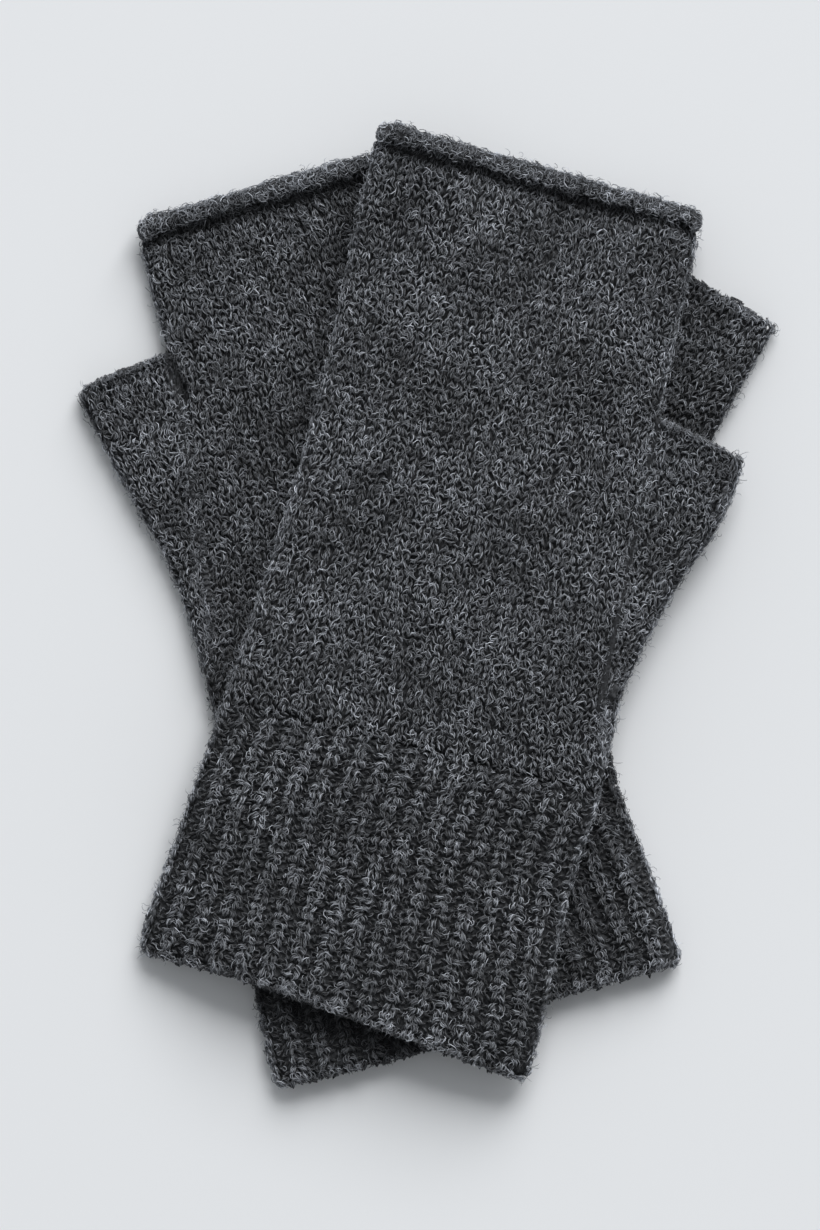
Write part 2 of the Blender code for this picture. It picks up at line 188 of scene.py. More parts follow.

# ---------------------------------------------------------------- creases

# A soft ridge, or a trough where the rise is negative, from one place on a mitten to another
Crease = namedtuple("Crease", "across along to_across to_along reach rise")
UPPER_CREASES = (
    Crease(-34.0, 195.6, 20.0, 193.9, 1.7, -1.1),
    Crease(20.0, 193.9, 36.0, 193.5, 1.5, -0.6),
    Crease(40.5, 148.0, 57.5, 144.0, 0.8, -0.6),
    Crease(-18.6, 106.1, -1.9, 91.4, 5.0, -0.55),
    Crease(-28.3, 83.6, -17.5, 82.8, 4.5, -0.45),
    Crease(-18.8, 178.5, -1.0, 178.2, 4.0, -0.5),
    Crease(5.4, 147.4, 26.8, 146.8, 5.0, -0.45),
    Crease(26.8, 146.8, 32.2, 136.4, 4.0, -0.5),
    Crease(-22.6, 151.1, -17.1, 143.0, 6.0, -0.4),
    Crease(1.1, 88.6, 6.6, 80.5, 3.5, -0.4),
    Crease(11.3, 171.3, 21.8, 166.8, 5.0, -0.35),
    Crease(8.8, 73.0, 27.7, 69.5, 2.4, -0.5),
    Crease(-33.2, 132.0, -25.2, 128.1, 5.0, 0.4),
    Crease(35.5, 146.0, 37.5, 124.0, 2.5, 0.55),
    Crease(22.6, 116.3, 35.6, 111.3, 4.5, 0.4),
    Crease(-3.3, 110.0, 1.5, 97.0, 4.0, 0.4),
    Crease(0.7, 128.6, 13.4, 124.6, 5.0, 0.3),
    Crease(-36.0, 67.5, 5.2, 71.0, 2.6, 0.4),
    Crease(13.3, 66.0, 25.5, 56.9, 3.2, 0.45),
    Crease(21.0, 55.8, 29.9, 39.1, 4.5, -0.35),
    Crease(-30.0, 30.0, -14.0, 22.0, 6.0, -0.3),
    Crease(-5.0, 40.0, 12.0, 46.0, 5.0, 0.3),
)
LOWER_CREASES = (
    Crease(-31.0, 192.2, 28.0, 195.0, 1.8, -1.2),
    Crease(-52.8, 160.6, -35.0, 163.4, 0.8, -0.6),
    Crease(80.2, 156.4, 99.4, 138.2, 0.8, -0.6),
    Crease(-34.0, 165.0, -32.4, 155.0, 1.3, -1.5),
    Crease(-21.8, 185.0, -15.0, 174.0, 5.5, 0.4),
    Crease(-28.6, 146.6, -21.8, 135.6, 5.0, -0.4),
    Crease(-41.4, 152.0, -37.4, 139.3, 4.0, 0.35),
    Crease(4.7, 192.0, 8.7, 180.0, 5.0, -0.4),
    Crease(-37.8, 127.6, -33.1, 107.7, 5.0, -0.4),
    Crease(-30.1, 181.9, -23.9, 176.1, 5.0, 0.35),
    Crease(85.4, 140.8, 92.7, 132.1, 5.0, 0.35),
    Crease(74.0, 136.0, 80.0, 124.0, 4.0, -0.4),
    Crease(36.2, 32.5, 41.5, 14.8, 5.0, 0.35),
    Crease(-40.0, 8.0, -20.0, 4.0, 4.5, -0.3),
)

# Painted shade on the wool, along lines: in the crevices under the rolls, round the pinhole, in the slit
# between the lower mitten's thumb and its hand, and a painted shadow on the lower cuff under the upper
# one's edge
PaintedShade = namedtuple("PaintedShade", "across along to_across to_along reach dark")
UPPER_PAINTED_SHADES = (
    PaintedShade(-34.0, 195.4, 20.0, 193.8, 1.5, 0.6),
    PaintedShade(20.0, 193.8, 35.0, 193.2, 1.3, 0.5),
    PaintedShade(6.2, 179.3, 6.4, 180.7, 0.8, 0.95),
)
LOWER_PAINTED_SHADES = (
    PaintedShade(-34.0, 166.0, -32.4, 155.5, 1.1, 0.93),
    PaintedShade(-31.0, 192.0, 28.0, 194.8, 1.6, 0.6),
    PaintedShade(-47.8, 20.5, -13.7, -4.7, 4.5, 0.55),
)

# A pinhole between the stitches: its middle and how far it is kept free of wool
Pinhole = namedtuple("Pinhole", "across along reach")
UPPER_PINHOLE = Pinhole(6.3, 180.0, 0.5)

# ---------------------------------------------------------------- the knit and its wool

# A knit's gauge: the width of a column of stitches and the height of a row, then one leg of a stitch,
# and the fine plies that show on a leg
Gauge = namedtuple("Gauge", "wale course leg_width leg_length leg_depth lean plies ply_gap ply_length")
PLAIN = Gauge(1.9, 1.7, 0.72, 2.6, 0.78, lean=17, plies=2, ply_gap=0.30, ply_length=2.3)
RIBBED = Gauge(3.7, 2.0, 1.15, 2.7, 1.05, lean=27, plies=5, ply_gap=0.28, ply_length=2.3)

# The shell: its wall, how far it lies under the knit, and less so at a roll, and how fine it is
SHELL_WALL = 1.4
SINK = 0.6
SINK_REACH = 4.0
SINK_WAYS = (0.5, 0.5, 1.0)
RIM_DROP = 0.5
TOP_STEP = 2.2
PALM_STEP = 3.4
PALM_COLUMNS = 24
ROLL_PARTS = 9
MERGE = 0.02

# The grid that knit is laid on: how far it goes under each side fold, its columns there, over the
# top and on a palm, the degrees that a fold turns through, and its rows between two of a table
UNDER_REACH = 3.3
UNDER_COLUMNS = 6
OVER_COLUMNS = 240
PALM_GRID = OVER_COLUMNS // 4
FOLD_TURN = 170
FOLD_STEPS = 34
KNOT_STEPS = 10

# How deep under the mitten on top strands are left out, how far they stay off the floor, and how
# much painted shade darkens strands beside the mitten on top, and how far it reaches
HIDDEN_DEPTH = 4.0
FLOOR_CLEAR = 0.35
BESIDE_PAINTED_SHADE = 0.55
BESIDE_SHADE_REACH = 7.0

# A leg of a stitch: how deep in the cloth and how far aside it lies, its light, and how it strays
LEG_SINK = 0.42
LEG_ASIDE = 0.22
LEG_LIGHT = 0.8
LIGHT_STRAY = 0.015
ALONG_STRAY = 0.17
ASIDE_STRAY = 0.12
SINK_STRAY = 0.1
LEAN_STRAY = 16
SIZE_STRAY = 0.14
SIZE_LIMITS = (0.6, 1.35)

# The plies on a leg: how they turn in degrees, together and each alone, how far ahead and how high
# they lie, how long they are, their tones, and the share of them that curls another way
LEG_TURN = 26
PLY_TURN = 14
PLY_AHEAD = 0.1
PLY_TOP = 1.06
PLY_STRAY = 0.1
PLY_SINK = 0.14
PLY_LENGTHS = (0.65, 1.2)
LEG_TONES = (1.3, 2.4)
PLY_TONES = (1.1, 2.1)
PLY_SHARED = 0.4
PLY_DARKEST = 0.03
PLY_LIGHT = 0.85
PLY_LEAST = 0.1
PLY_LIGHTS = (0.4, 1.2)
PLY_ODD = 0.35
ANY_KIND = 10**6

# Plain knit: how its columns sway, each shifted further than the last, how far along each is moved,
# how far its stitches go past a seam and a fold, and how far they stay off a seam
PLAIN_WAVES = (Wave(0.25, 11.0), Wave(0.2, 5.0, 1.9))
PLAIN_STEP = 0.35
PAST_SEAM = 0.9
PAST_FOLD = 0.8
SEAM_INSET = 0.2
NO_INSET = -9.0

# Ribs: how their courses are shifted, how high they stand, how they shrink and the painted shade of their
# gullies fades towards the hand, and where along a stitch and how far aside the purl bars lie
RIB_SHIFT = 0.3
RIB_SHIFT_TURN = 2.4
RIB_RAISED = 0.1
RIB_SMALL = 0.72
RIB_SMALL_REACH = 7
GULLY_REACH = 9
PURL_PLACES = ((0.3, -0.45), (0.8, 0.45))
PURL_STRAY = 0.15
PURL_LEAN = 28
PURL_TONE_STRAY = 0.2
PURL_SINK = 0.45

Shades = namedtuple("Shades", "dark light")
CHARCOAL = Shades(dark=(0.008, 0.0087, 0.0105, 1), light=(0.735, 0.775, 0.85, 1))
ROUGHNESS = 0.9
SHEEN = 0.12

SHEEN_ROUGHNESS = 0.5
SPECULAR = 0.25
FLECK_SCALE = 2100
LEG_SLANT = 1.5
WOOL_BUMP = (0.5, 0.15 * MM)
SHELL_BUMP = (0.9, 0.6 * MM)
SHELL_FLECK = 0.12
# The shell's tone rises with the knit relief, as painted shade in its hollows; painted shade darkens it
# where stitches cover it
BARE_RELIEF = 0.1
BARE_SHADE = 0.035
COVERED_PAINTED_SHADE = 0.65

# Tones of the loops at the rims, the palms' ends and the cuffs' edges: darker, as painted shade
RIM_PAINTED_SHADE = 0.062
HEM_PAINTED_SHADE = 0.045
PLAIN_SHADE = 0.098
RIB_SHADE = 0.092
# The purl bars in the gullies: darker, as painted shade between the ribs
GULLY_PAINTED_SHADE = 0.045
ROLL_SHADE = 0.07

# The heather's changes of shade: their strength, then the length of each of two crossing waves, how
# far and over what length it sways, and a shift
Cloud = namedtuple("Cloud", "strength x_over x_sway x_sway_over y_over y_sway y_sway_over shift")
CLOUDS = (
    Cloud(0.14, 6.1, 1.7, 9.3, 5.3, 1.3, 7.9, 2),
    Cloud(0.14, 2.1, 2.2, 2.7, 1.9, 1.9, 3.1, 1),
    Cloud(0.10, 0.9, 2.5, 1.3, 0.8, 2.1, 1.1, 3),
)

# A small loop, and the plies on it
Loop = namedtuple("Loop", "leg_width leg_length leg_depth ply_length ply_gap plies", defaults=(0.3, 2))
PURL_LOOP = Loop(0.8, 2.0, 0.7, 1.9, plies=1)
DOME_LOOP = Loop(0.8, 1.7, 0.8, 1.8)

# Loops in a row along an edge: how far they tilt to and fro in degrees, how far apart they are, how
# far the row stays off the side lines, and its shade
Edge = namedtuple("Edge", "loop tilt pitch inset shade")
ROLL_EDGE = Edge(Loop(0.8, 2.1, 0.9, 2.1), 50, 0.95, 0.0, ROLL_SHADE)
RIM_EDGE = Edge(Loop(0.85, 1.6, 0.75, 1.6), 24, 0.9, 2.3, RIM_PAINTED_SHADE)
HEM_EDGE = Edge(Loop(1.0, 2.0, 0.9, 2.0), 50, 1.1, 2.0, HEM_PAINTED_SHADE)
PALM_RIM = Edge(Loop(0.9, 1.6, 0.6, 1.6, 0.35), 35, 0.95, 2.8, RIM_PAINTED_SHADE)
PALM_HEM = PALM_RIM._replace(shade=HEM_PAINTED_SHADE)
LOOP_STRAY = 0.12
LOOP_LEAN_STRAY = 12
LOOP_LIMITS = (0.75, 1.3)
LAST_TOO = 0.01
SMALL_STRAY = 0.1

# Where the rows of loops lie: how far in from the edge and how high, and at which turns of a roll.
# Then the columns at a roll's ends and the rows at a palm's, each with one further in.
RIM_ROWS = ((0.1, -1.3), (0.1, -0.6), (0.7, -0.3))
HEM_ROWS = ((0.0, -2.6), (0.0, -1.6), (0.1, -0.8))
ROLL_TURNS = range(40, 250, 30)
ROLL_RAISED = -0.75
ROLL_ENDS = ((0, 8), (-1, -9))
RING_START = 3
PALM_OUT = -0.15
PALM_END = (-1, -5)
PALM_START = (0, 4)

# The dome of loops that closes an end of a roll
DOME_COUNT = 60
DOME_REACH = 0.9
DOME_HEIGHT = 0.9
DOME_LIFT = 1.1
DOME_SINK = 0.5

# Loose fibres: how many lie on 100 square millimetres, how long they are, how they turn from the
# knit and stand up in degrees, how light they are, how high they lie, and which kinds they are
NAP_SQUARE = 100
Nap = namedtuple("Nap", "density short long spread lift dark light height first last")
CURLED = Nap(49, 1.5, 3.3, 42, 9, 0.08, 0.92, 0.36, 0, 8)
HALO = Nap(60, 1.2, 3.4, 60, 42, 0.2, 0.9, 0.2, 8, 16)
EDGE_HALO = HALO._replace(density=110, spread=80)
ROLL_CURLED = CURLED._replace(density=90, short=2.0, long=4.2, spread=90, height=-0.05)
ROLL_HALO = HALO._replace(spread=90, lift=25, height=0.0)
HEM_CURLED = CURLED._replace(density=70, short=2.0, long=3.8, spread=75, height=0.2)
NAP_PAST = 0.8
NAP_ROUND = 2.5
NAP_ROLL = 25
NAP_STRAY = 0.08
NAP_TONES = (1.1, 2.6)
# How much nap is kept in a gully, and how much painted shade darkens it there
GULLY_NAP = 0.5
GULLY_NAP_PAINTED_SHADE = 0.5
HALO_HALF = 2.0
HALO_STEP = 6.0
EDGE_BAND = 1.5
HEM_BAND = (-0.6, 1.8)
ROLL_NAP_START = 0.15

# ---------------------------------------------------------------- the photo's view

PIXEL = 0.229
PHOTO_HEIGHT = 1230
VIEW_X = -4.12
VIEW_Y = -2.06
VIEW_LEVEL = 6.0
CAMERA_HEIGHT = 2400.0
SENSOR = 36.0
CLIP = (0.1, 20)


# ---------------------------------------------------------------- small sums

def ease(share):
    """0 up to a share of 0, 1 from a share of 1, and smooth between."""
    share = np.clip(share, 0.0, 1.0)
    return share * share * (3 - 2 * share)


def fall(distance, start, reach):
    """1 up to the start, 0 from the reach beyond it, as cloth falls from an edge to the surface."""
    return 1 - ease((distance - start) / reach)


def smooth_through(knots, values, at):
    """A smooth curve through the values at rising knots, with no overshoot between them."""
    knots, values, at = np.asarray(knots, float), np.asarray(values, float), np.asarray(at, float)
    spans = np.diff(knots)
    slopes = np.diff(values) / spans
    before, after = slopes[:-1], slopes[1:]
    level = np.where(before * after > 0, before + after, 1)
    turning = np.where(before * after > 0, 2 * before * after / level, 0)
    tangents = np.concatenate([slopes[:1], turning, slopes[-1:]])
    at = np.clip(at, knots[0], knots[-1])
    i = np.clip(np.searchsorted(knots, at, side="right") - 1, 0, len(spans) - 1)
    share = (at - knots[i]) / spans[i]
    turn = share * share * (3 - 2 * share)
    start = share * (1 - share) ** 2 * spans[i] * tangents[i]
    end = share * share * (share - 1) * spans[i] * tangents[i + 1]
    return values[i] + turn * (values[i + 1] - values[i]) + start + end


def swell(distance):
    """How much of the swell stands this far in from a side fold's outer line."""
    return np.sin(np.pi * np.clip(distance / (2 * SWELL_REACH), 0, 1))


def unit(vectors):
    """The vectors at a length of 1."""
    return vectors / np.maximum(np.linalg.norm(vectors, axis=-1, keepdims=True), 1e-12)


def turned(first, second, angle):
    """The first direction turned towards the second."""
    return first * np.cos(angle) + second * np.sin(angle)


def waving(way, waves, number=1):
    """The sum of waves along a way, each shifted by as many times as the number says."""
    return sum(wave.far * np.sin(way / wave.over + wave.shift * number) for wave in waves)


def near_line(x, y, start, end):
    """How far places lie from a straight line."""
    start, end = np.array(start, float), np.array(end, float)
    way = end - start
    reached = np.stack([x, y], -1) - start
    share = np.clip((reached @ way) / (way @ way), 0, 1)
    return np.linalg.norm(reached - share[..., None] * way, axis=-1)


def distance_outside(outline, x, y):
    """How far places lie outside an outline: negative inside."""
    nearest = np.full(np.shape(x), np.inf)
    crossings = np.zeros(np.shape(x), int)
    for start, end in zip(outline, np.roll(outline, -1, axis=0)):
        nearest = np.minimum(nearest, near_line(x, y, start, end + (end == start).all() * 1e-9))
        if start[1] != end[1]:
            above = (start[1] > y) != (end[1] > y)
            crossing = start[0] + (y - start[1]) / (end[1] - start[1]) * (end[0] - start[0])
            crossings += above & (crossing > x)
    return np.where(crossings % 2 == 1, -nearest, nearest)


# ---------------------------------------------------------------- the form of the cloth

def rows_of(table, knots):
    """The table's fields at each knot, as columns."""
    places = range(len(table))
    return Row(*(smooth_through(places, [getattr(row, f) for row in table], knots) for f in Row._fields))


def all_knots(table):
    """Evenly spaced knots from a table's first row to its last."""
    return np.linspace(0, len(table) - 1, (len(table) - 1) * KNOT_STEPS + 1)


class Mitten:
    """A mitten's frame: it turns places across, along and up into places in the pair's frame."""

    def __init__(self, place, hem, creases, painted_shades, base, pinhole=None):
        self.place = place
        self.pinhole = pinhole
        self.hem = hem
        self.creases = creases
        self.painted_shades = painted_shades
        self.base = base
        self.sine = math.sin(math.radians(place.lean))
        self.cosine = math.cos(math.radians(place.lean))

    def flat(self, across, along):
        """The place seen from above, with the cuff's edge bowed."""
        bow = smooth_through([h.across for h in self.hem], [h.rise for h in self.hem], across)
        along = along + bow * (1 - np.clip(along, 0, CUFF_LENGTH) / CUFF_LENGTH)
        x = self.place.x + across * self.cosine + along * self.sine
        y = self.place.y - across * self.sine + along * self.cosine
        return x, y

    def creased(self, across, along):
        """How far the creases raise or lower the cloth."""
        raised = np.zeros(np.shape(across))
        for c in self.creases:
            off = near_line(across, along, (c.across, c.along), (c.to_across, c.to_along))
            raised += c.rise * np.exp(-((off / c.reach) ** 2))
        return raised

    def point(self, across, along, up):
        """The place on what the mitten lies on."""
        x, y = self.flat(across, along)
        return np.stack([x, y, self.base(x, y) + up], -1)

    def painted_shade_at(self, x, y):
        """How much painted shade darkens places seen from above: 0 away from its lines."""
        dark = np.zeros(np.shape(x))
        for s in self.painted_shades:
            off = near_line(x, y, self.flat(s.across, s.along), self.flat(s.to_across, s.to_along))
            dark = np.maximum(dark, s.dark * np.exp(-((off / s.reach) ** 2)))
        return dark

    def outline(self, table, front=0.0):
        """A piece's outline seen from above, with its last row moved forward."""
        rows = rows_of(table, np.linspace(0, len(table) - 1, 2 * len(table) - 1))
        moved = np.zeros(len(rows.left))
        moved[-1] = front
        left = np.stack(self.flat(rows.left, rows.left_along + moved), -1)
        right = np.stack(self.flat(rows.right, rows.right_along + moved), -1)
        return np.concatenate([left, right[::-1]])


def resting_on(lower):
    """The height of the upper mitten's underside: on the lower mitten and its roll, then falling."""
    outlines = [
        lower.outline(LOWER_CUFF),
        lower.outline(LOWER_HAND, front=ROLL_FRONT),
        lower.outline(LOWER_THUMB),
        lower.outline(LOWER_SLEEVE),
    ]
    end = LOWER_HAND[-1]
    roll_left = lower.flat(end.left, end.left_along)
    roll_right = lower.flat(end.right, end.right_along)

    def base(x, y):
        outside = np.min([distance_outside(outline, x, y) for outline in outlines], axis=0)
        from_roll = near_line(x, y, roll_left, roll_right)
        body = (LOWER_TOP + LAYER_GAP) * fall(outside, FALL_START, FALL_REACH)
        roll_top = ROLL_MIDDLE + ROLL_FRONT
        return body + (roll_top - LOWER_TOP) * fall(from_roll, ROLL_FRONT, ROLL_REACH)

    return base


def half_section(fold):
    """A side fold from its under half to the top: ways in from the side line, and heights."""
    angle = np.radians(np.linspace(FOLD_TURN, 0, FOLD_STEPS + 1))
    way = FOLD_RADIUS * (1 - np.sin(angle))
    return way, HEIGHT - FOLD_RADIUS * (1 - np.cos(angle)) * fold


def section(left_fold, right_fold, width):
    """A row's section at evenly spaced columns.

    It is given as ways along the row, heights, and its length over the top.
    """
    left, left_high = half_section(left_fold)
    right, right_high = half_section(right_fold)
    way = np.concatenate([left, width - right[::-1]])
    high = np.concatenate([left_high, right_high[::-1]])
    gone = np.concatenate([[0], np.cumsum(np.hypot(np.diff(way), np.diff(high)))])
    at_left = np.interp(90, [0, FOLD_TURN], [FOLD_STEPS, 0])
    start = np.interp(at_left, range(len(gone)), gone)
    end = np.interp(len(gone) - 1 - at_left, range(len(gone)), gone)
    under = np.linspace(-UNDER_REACH, 0, UNDER_COLUMNS, endpoint=False)
    over = np.linspace(0, end - start, OVER_COLUMNS + 1)
    beyond = end - start - under[::-1]
    places = start + np.concatenate([under, over, beyond])
    return np.interp(places, gone, way), np.interp(places, gone, high), end - start


class Surface:
    """The outer face of a piece of knit, as a grid of places that is sampled between them.

    Rows follow each other along the piece. Columns go round its section from the left side fold's
    under half, over the top, to the right one's.
    """

    def __init__(self, points, rounds, folds=None, facing=1, ribbed=False):
        self.points = points
        self.rounds = rounds
        self.folds = folds
        self.ribbed = ribbed
        steps = np.linalg.norm(np.diff(points[:, points.shape[1] // 2], axis=0), axis=1)
        self.runs = np.concatenate([[0], np.cumsum(steps)])
        self.length = self.runs[-1]
        across = unit(np.gradient(points, axis=1)) * facing
        along = unit(np.gradient(points, axis=0))
        self.grids = (points, across, along, unit(np.cross(across, along)))

    def row(self, run):
        """The grid's row at a distance along the piece."""
        return np.interp(run, self.runs, np.arange(len(self.runs)))

    def folded(self, run):
        """How closed the left and right side folds are at a distance along the piece."""
        return np.array([np.interp(run, self.runs, fold) for fold in self.folds])

    def round_at(self, run):
        """The way over the top, from side line to side line, at a distance along the piece."""
        return np.interp(run, self.runs, self.rounds)

    def column(self, run, side):
        """The grid's column at a distance from the left side line."""
        over = self.round_at(run)
        past = np.maximum(side - over, 0) / UNDER_REACH * UNDER_COLUMNS
        short = np.minimum(side, 0) / UNDER_REACH * UNDER_COLUMNS
        return UNDER_COLUMNS + np.clip(side / over, 0, 1) * OVER_COLUMNS + short + past

    def at(self, run, side):
        """Places, and the ways across, along and outward there."""
        run, side = np.broadcast_arrays(np.asarray(run, float), np.asarray(side, float))
        row, column = self.row(run), self.column(run, side)
        rows, columns = self.points.shape[:2]
        row, column = np.clip(row, 0, rows - 1.001), np.clip(column, 0, columns - 1.001)
        i, j = row.astype(int), column.astype(int)
        fi, fj = (row - i)[..., None], (column - j)[..., None]
        return [
            (g[i, j] * (1 - fj) + g[i, j + 1] * fj) * (1 - fi)
            + (g[i + 1, j] * (1 - fj) + g[i + 1, j + 1] * fj) * fi
            for g in self.grids
        ]


def wander(along):
    """How far ribs sway sideways along a cuff, as a share of their pitch."""
    return waving(along, RIB_WAVES)


def on_rib(surface, run, side):
    """How near the middle of a rib places on a cuff lie: 1 on its top and 0 in a gully."""
    fold = FOLD_RADIUS * math.pi / 2
    pitch = (surface.round_at(run) - 2 * fold) / RIBS_ACROSS
    phase = ((side - fold) / pitch - wander(run)) % 1
    return ease((RIB_HALF - abs(phase - 0.5)) / RIB_SLOPE)


def rib_height(share, along):
    """The ribs' height at a share of the way across a cuff, fading out at the hand."""
    phase = (share * RIBS_ACROSS - wander(along)) % 1
    height = smooth_through(RIB_PLACES, RIB_HEIGHTS, phase)
    inside = (share > 0) & (share < 1)
    return RIB_RELIEF * height * inside * ease((CUFF_LENGTH - along) / RIB_FADE)


def laid_rows(table):
    """A table's rows at all its knots, and how wide each is."""
    rows = rows_of(table, all_knots(table))
    return rows, np.hypot(rows.right - rows.left, rows.right_along - rows.left_along)


def along_rows(rows, share):
    """Places at shares of the way from each row's left end to its right: across and along."""
    across = rows.left[:, None] + (rows.right - rows.left)[:, None] * share
    along = rows.left_along[:, None] + (rows.right_along - rows.left_along)[:, None] * share
    return across, along


def top_surface(mitten, table, ribbed=False, lip=False):
    """The outer face of the panel that shows, with its side folds, creases and ribs."""
    rows, widths = laid_rows(table)
    sections = [section(*fields) for fields in zip(rows.left_fold, rows.right_fold, widths)]
    way = np.array([s[0] for s in sections])
    high = np.array([s[1] for s in sections])
    across, along = along_rows(rows, way / widths[:, None])
    left = rows.left_fold[:, None] * swell(way)
    right = rows.right_fold[:, None] * swell(widths[:, None] - way)
    raised = SWELL * np.maximum(left, right)
    if ribbed:
        flat_share = (way - FOLD_RADIUS) / (widths[:, None] - 2 * FOLD_RADIUS)
        raised = np.maximum(raised, rib_height(flat_share, along))
    if lip:
        raised = raised + LIP_RISE * ease(1 - (along[-1] - along) / LIP_REACH)
    on_top = ease((high - FOLD_RADIUS) / FOLD_RADIUS)
    up = high + on_top * (raised + mitten.creased(across, along))
    rounds = np.array([s[2] for s in sections])
    folds = (rows.left_fold, rows.right_fold)
    return Surface(mitten.point(across, along, up), rounds, folds, ribbed=ribbed)


def palm_surface(mitten, table):
    """The outer face of the panel underneath: flat, with the under half of its side folds."""
    rows, widths = laid_rows(table)
    share = np.linspace(0, 1, PALM_GRID + 1)
    way = share * widths[:, None]
    left = np.clip(1 - way / FOLD_RADIUS, 0, 1)
    right = np.clip(1 - (widths[:, None] - way) / FOLD_RADIUS, 0, 1)
    up = FOLD_RADIUS * (
        rows.left_fold[:, None] * (1 - np.sqrt(1 - left**2))
        + rows.right_fold[:, None] * (1 - np.sqrt(1 - right**2))
    )
    return Surface(mitten.point(*along_rows(rows, share), up), widths)


def roll_surface(mitten, table, radius, facing):
    """The edge that rolls forward at the finger end, at a distance from the roll's middle line.

    It faces the middle line at a facing of 1, and away from it at one of -1.
    """
    row = table[-1]
    width = math.hypot(row.right - row.left, row.right_along - row.left_along)
    turn = np.linspace(0, ROLL_TURN, ROLL_STEPS + 1)[:, None]
    way = np.linspace(0, width, OVER_COLUMNS + 1)[None, :]
    slope_across = (row.right - row.left) / width
    slope_along = (row.right_along - row.left_along) / width
    to_side = np.minimum(way, width - way)
    pulled = ROLL_CORNER * (1 - ease(to_side / FOLD_RADIUS)) * np.sin(turn / 2)
    rounded = radius + waving(way, ROLL_WAVES) - ROLL_TIGHTER
    forward = rounded * np.sin(turn) - pulled
    up = ROLL_MIDDLE - rounded * np.cos(turn)
    across = row.left + way * slope_across - forward * slope_along
    along = row.left_along + way * slope_along + forward * slope_across
    side = np.zeros(UNDER_COLUMNS, int)
    columns = np.concatenate([side, np.arange(OVER_COLUMNS + 1), side + OVER_COLUMNS])
    points = mitten.point(across, along, up)[:, columns]
    return Surface(points, np.full(len(turn), width), facing=facing)


# ---------------------------------------------------------------- shells

def grid_mesh(mesh, places, stitch, flipped=False):
    """Adds a grid of faces with its corners at these places, and a map of its stitches."""
    rows, columns = places.shape[0] - 1, places.shape[1] - 1
    grid = bmesh.ops.create_grid(mesh, x_segments=columns, y_segments=rows, size=0.5)
    knit = mesh.loops.layers.uv.verify()
    way = np.linalg.norm(np.diff(places[rows // 2], axis=0), axis=1).sum() / stitch[0]
    run = np.linalg.norm(np.diff(places[:, columns // 2], axis=0), axis=1).sum() / stitch[1]
    for vertex in grid["verts"]:
        share = vertex.co.x + 0.5, vertex.co.y + 0.5
        for corner in vertex.link_loops:
            corner[knit].uv = (share[0] * way, share[1] * run)
        vertex.co = places[round(share[1] * rows), round(share[0] * columns)]
    if flipped:
        faces = {face for vertex in grid["verts"] for face in vertex.link_faces}
        bmesh.ops.reverse_faces(mesh, faces=list(faces))
    return grid["verts"]


def finished(mesh, name):
    """A bmesh as smooth mesh data."""
    data = bpy.data.meshes.new(name)
    mesh.to_mesh(data)
    mesh.free()
    data.shade_smooth()
    return data


def in_scene(name, data):
    """A new object in the scene."""
    thing = bpy.data.objects.new(name, data)
    bpy.context.scene.collection.objects.link(thing)
    return thing


def new_piece(name, data, material):
    """Finished mesh data as a piece that rides on the pair's one body."""
    piece = in_scene(name, data)
    data.materials.clear()
    data.materials.append(material)
    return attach(piece, "root")


def shell_rows(surface, step):
    """Distances along a surface, evenly spaced at about a step."""
    return np.linspace(0, surface.length, max(2, round(surface.length / step)) + 1)


def shell(name, top, palm, material, columns, roll=None):
    """A tube's thin wall: its top and its palm, merged along the side folds, with its rolled edge."""
    runs = shell_rows(top, TOP_STEP)
    rounds = top.round_at(runs)[:, None]
    sides = np.linspace(0, 1, columns + 1)[None, :] * rounds
    place, _, _, outward = top.at(runs[:, None], sides)
    sunk = np.full(len(runs), SINK)
    if roll:
        sunk = SINK * ease((top.length - runs) / SINK_REACH)
    else:
        sunk[-1] += RIM_DROP
    if name.endswith("cuff"):
        sunk[0] += RIM_DROP
    places = place - sunk[:, None, None] * outward * np.array(SINK_WAYS)
    if roll:
        curl, _, _, _ = roll.at(shell_rows(roll, roll.length / ROLL_PARTS)[1:, None], sides[-1:])
        places = np.concatenate([places, curl])
    under_runs = shell_rows(palm, PALM_STEP)
    under_sides = np.linspace(0, 1, PALM_COLUMNS + 1)[None, :] * palm.round_at(under_runs)[:, None]
    under, _, _, _ = palm.at(under_runs[:, None], under_sides)
    gauge = RIBBED if top.ribbed else PLAIN
    stitch = (gauge.wale * MM, gauge.course * MM)
    mesh = bmesh.new()
    # Where stitches cover the shell, for its painted shade
    covered = mesh.verts.layers.float.new("covered")
    for vertex in grid_mesh(mesh, places * MM, stitch):
        vertex[covered] = 1.0
    grid_mesh(mesh, under * MM, stitch, flipped=True)
    bmesh.ops.remove_doubles(mesh, verts=mesh.verts[:], dist=MERGE * MM)
    piece = new_piece(name, finished(mesh, name), material)
    wall = piece.modifiers.new("wall", "SOLIDIFY")
    wall.thickness = SHELL_WALL * MM
    wall.offset = -1
    return piece


# ---------------------------------------------------------------- strands of wool

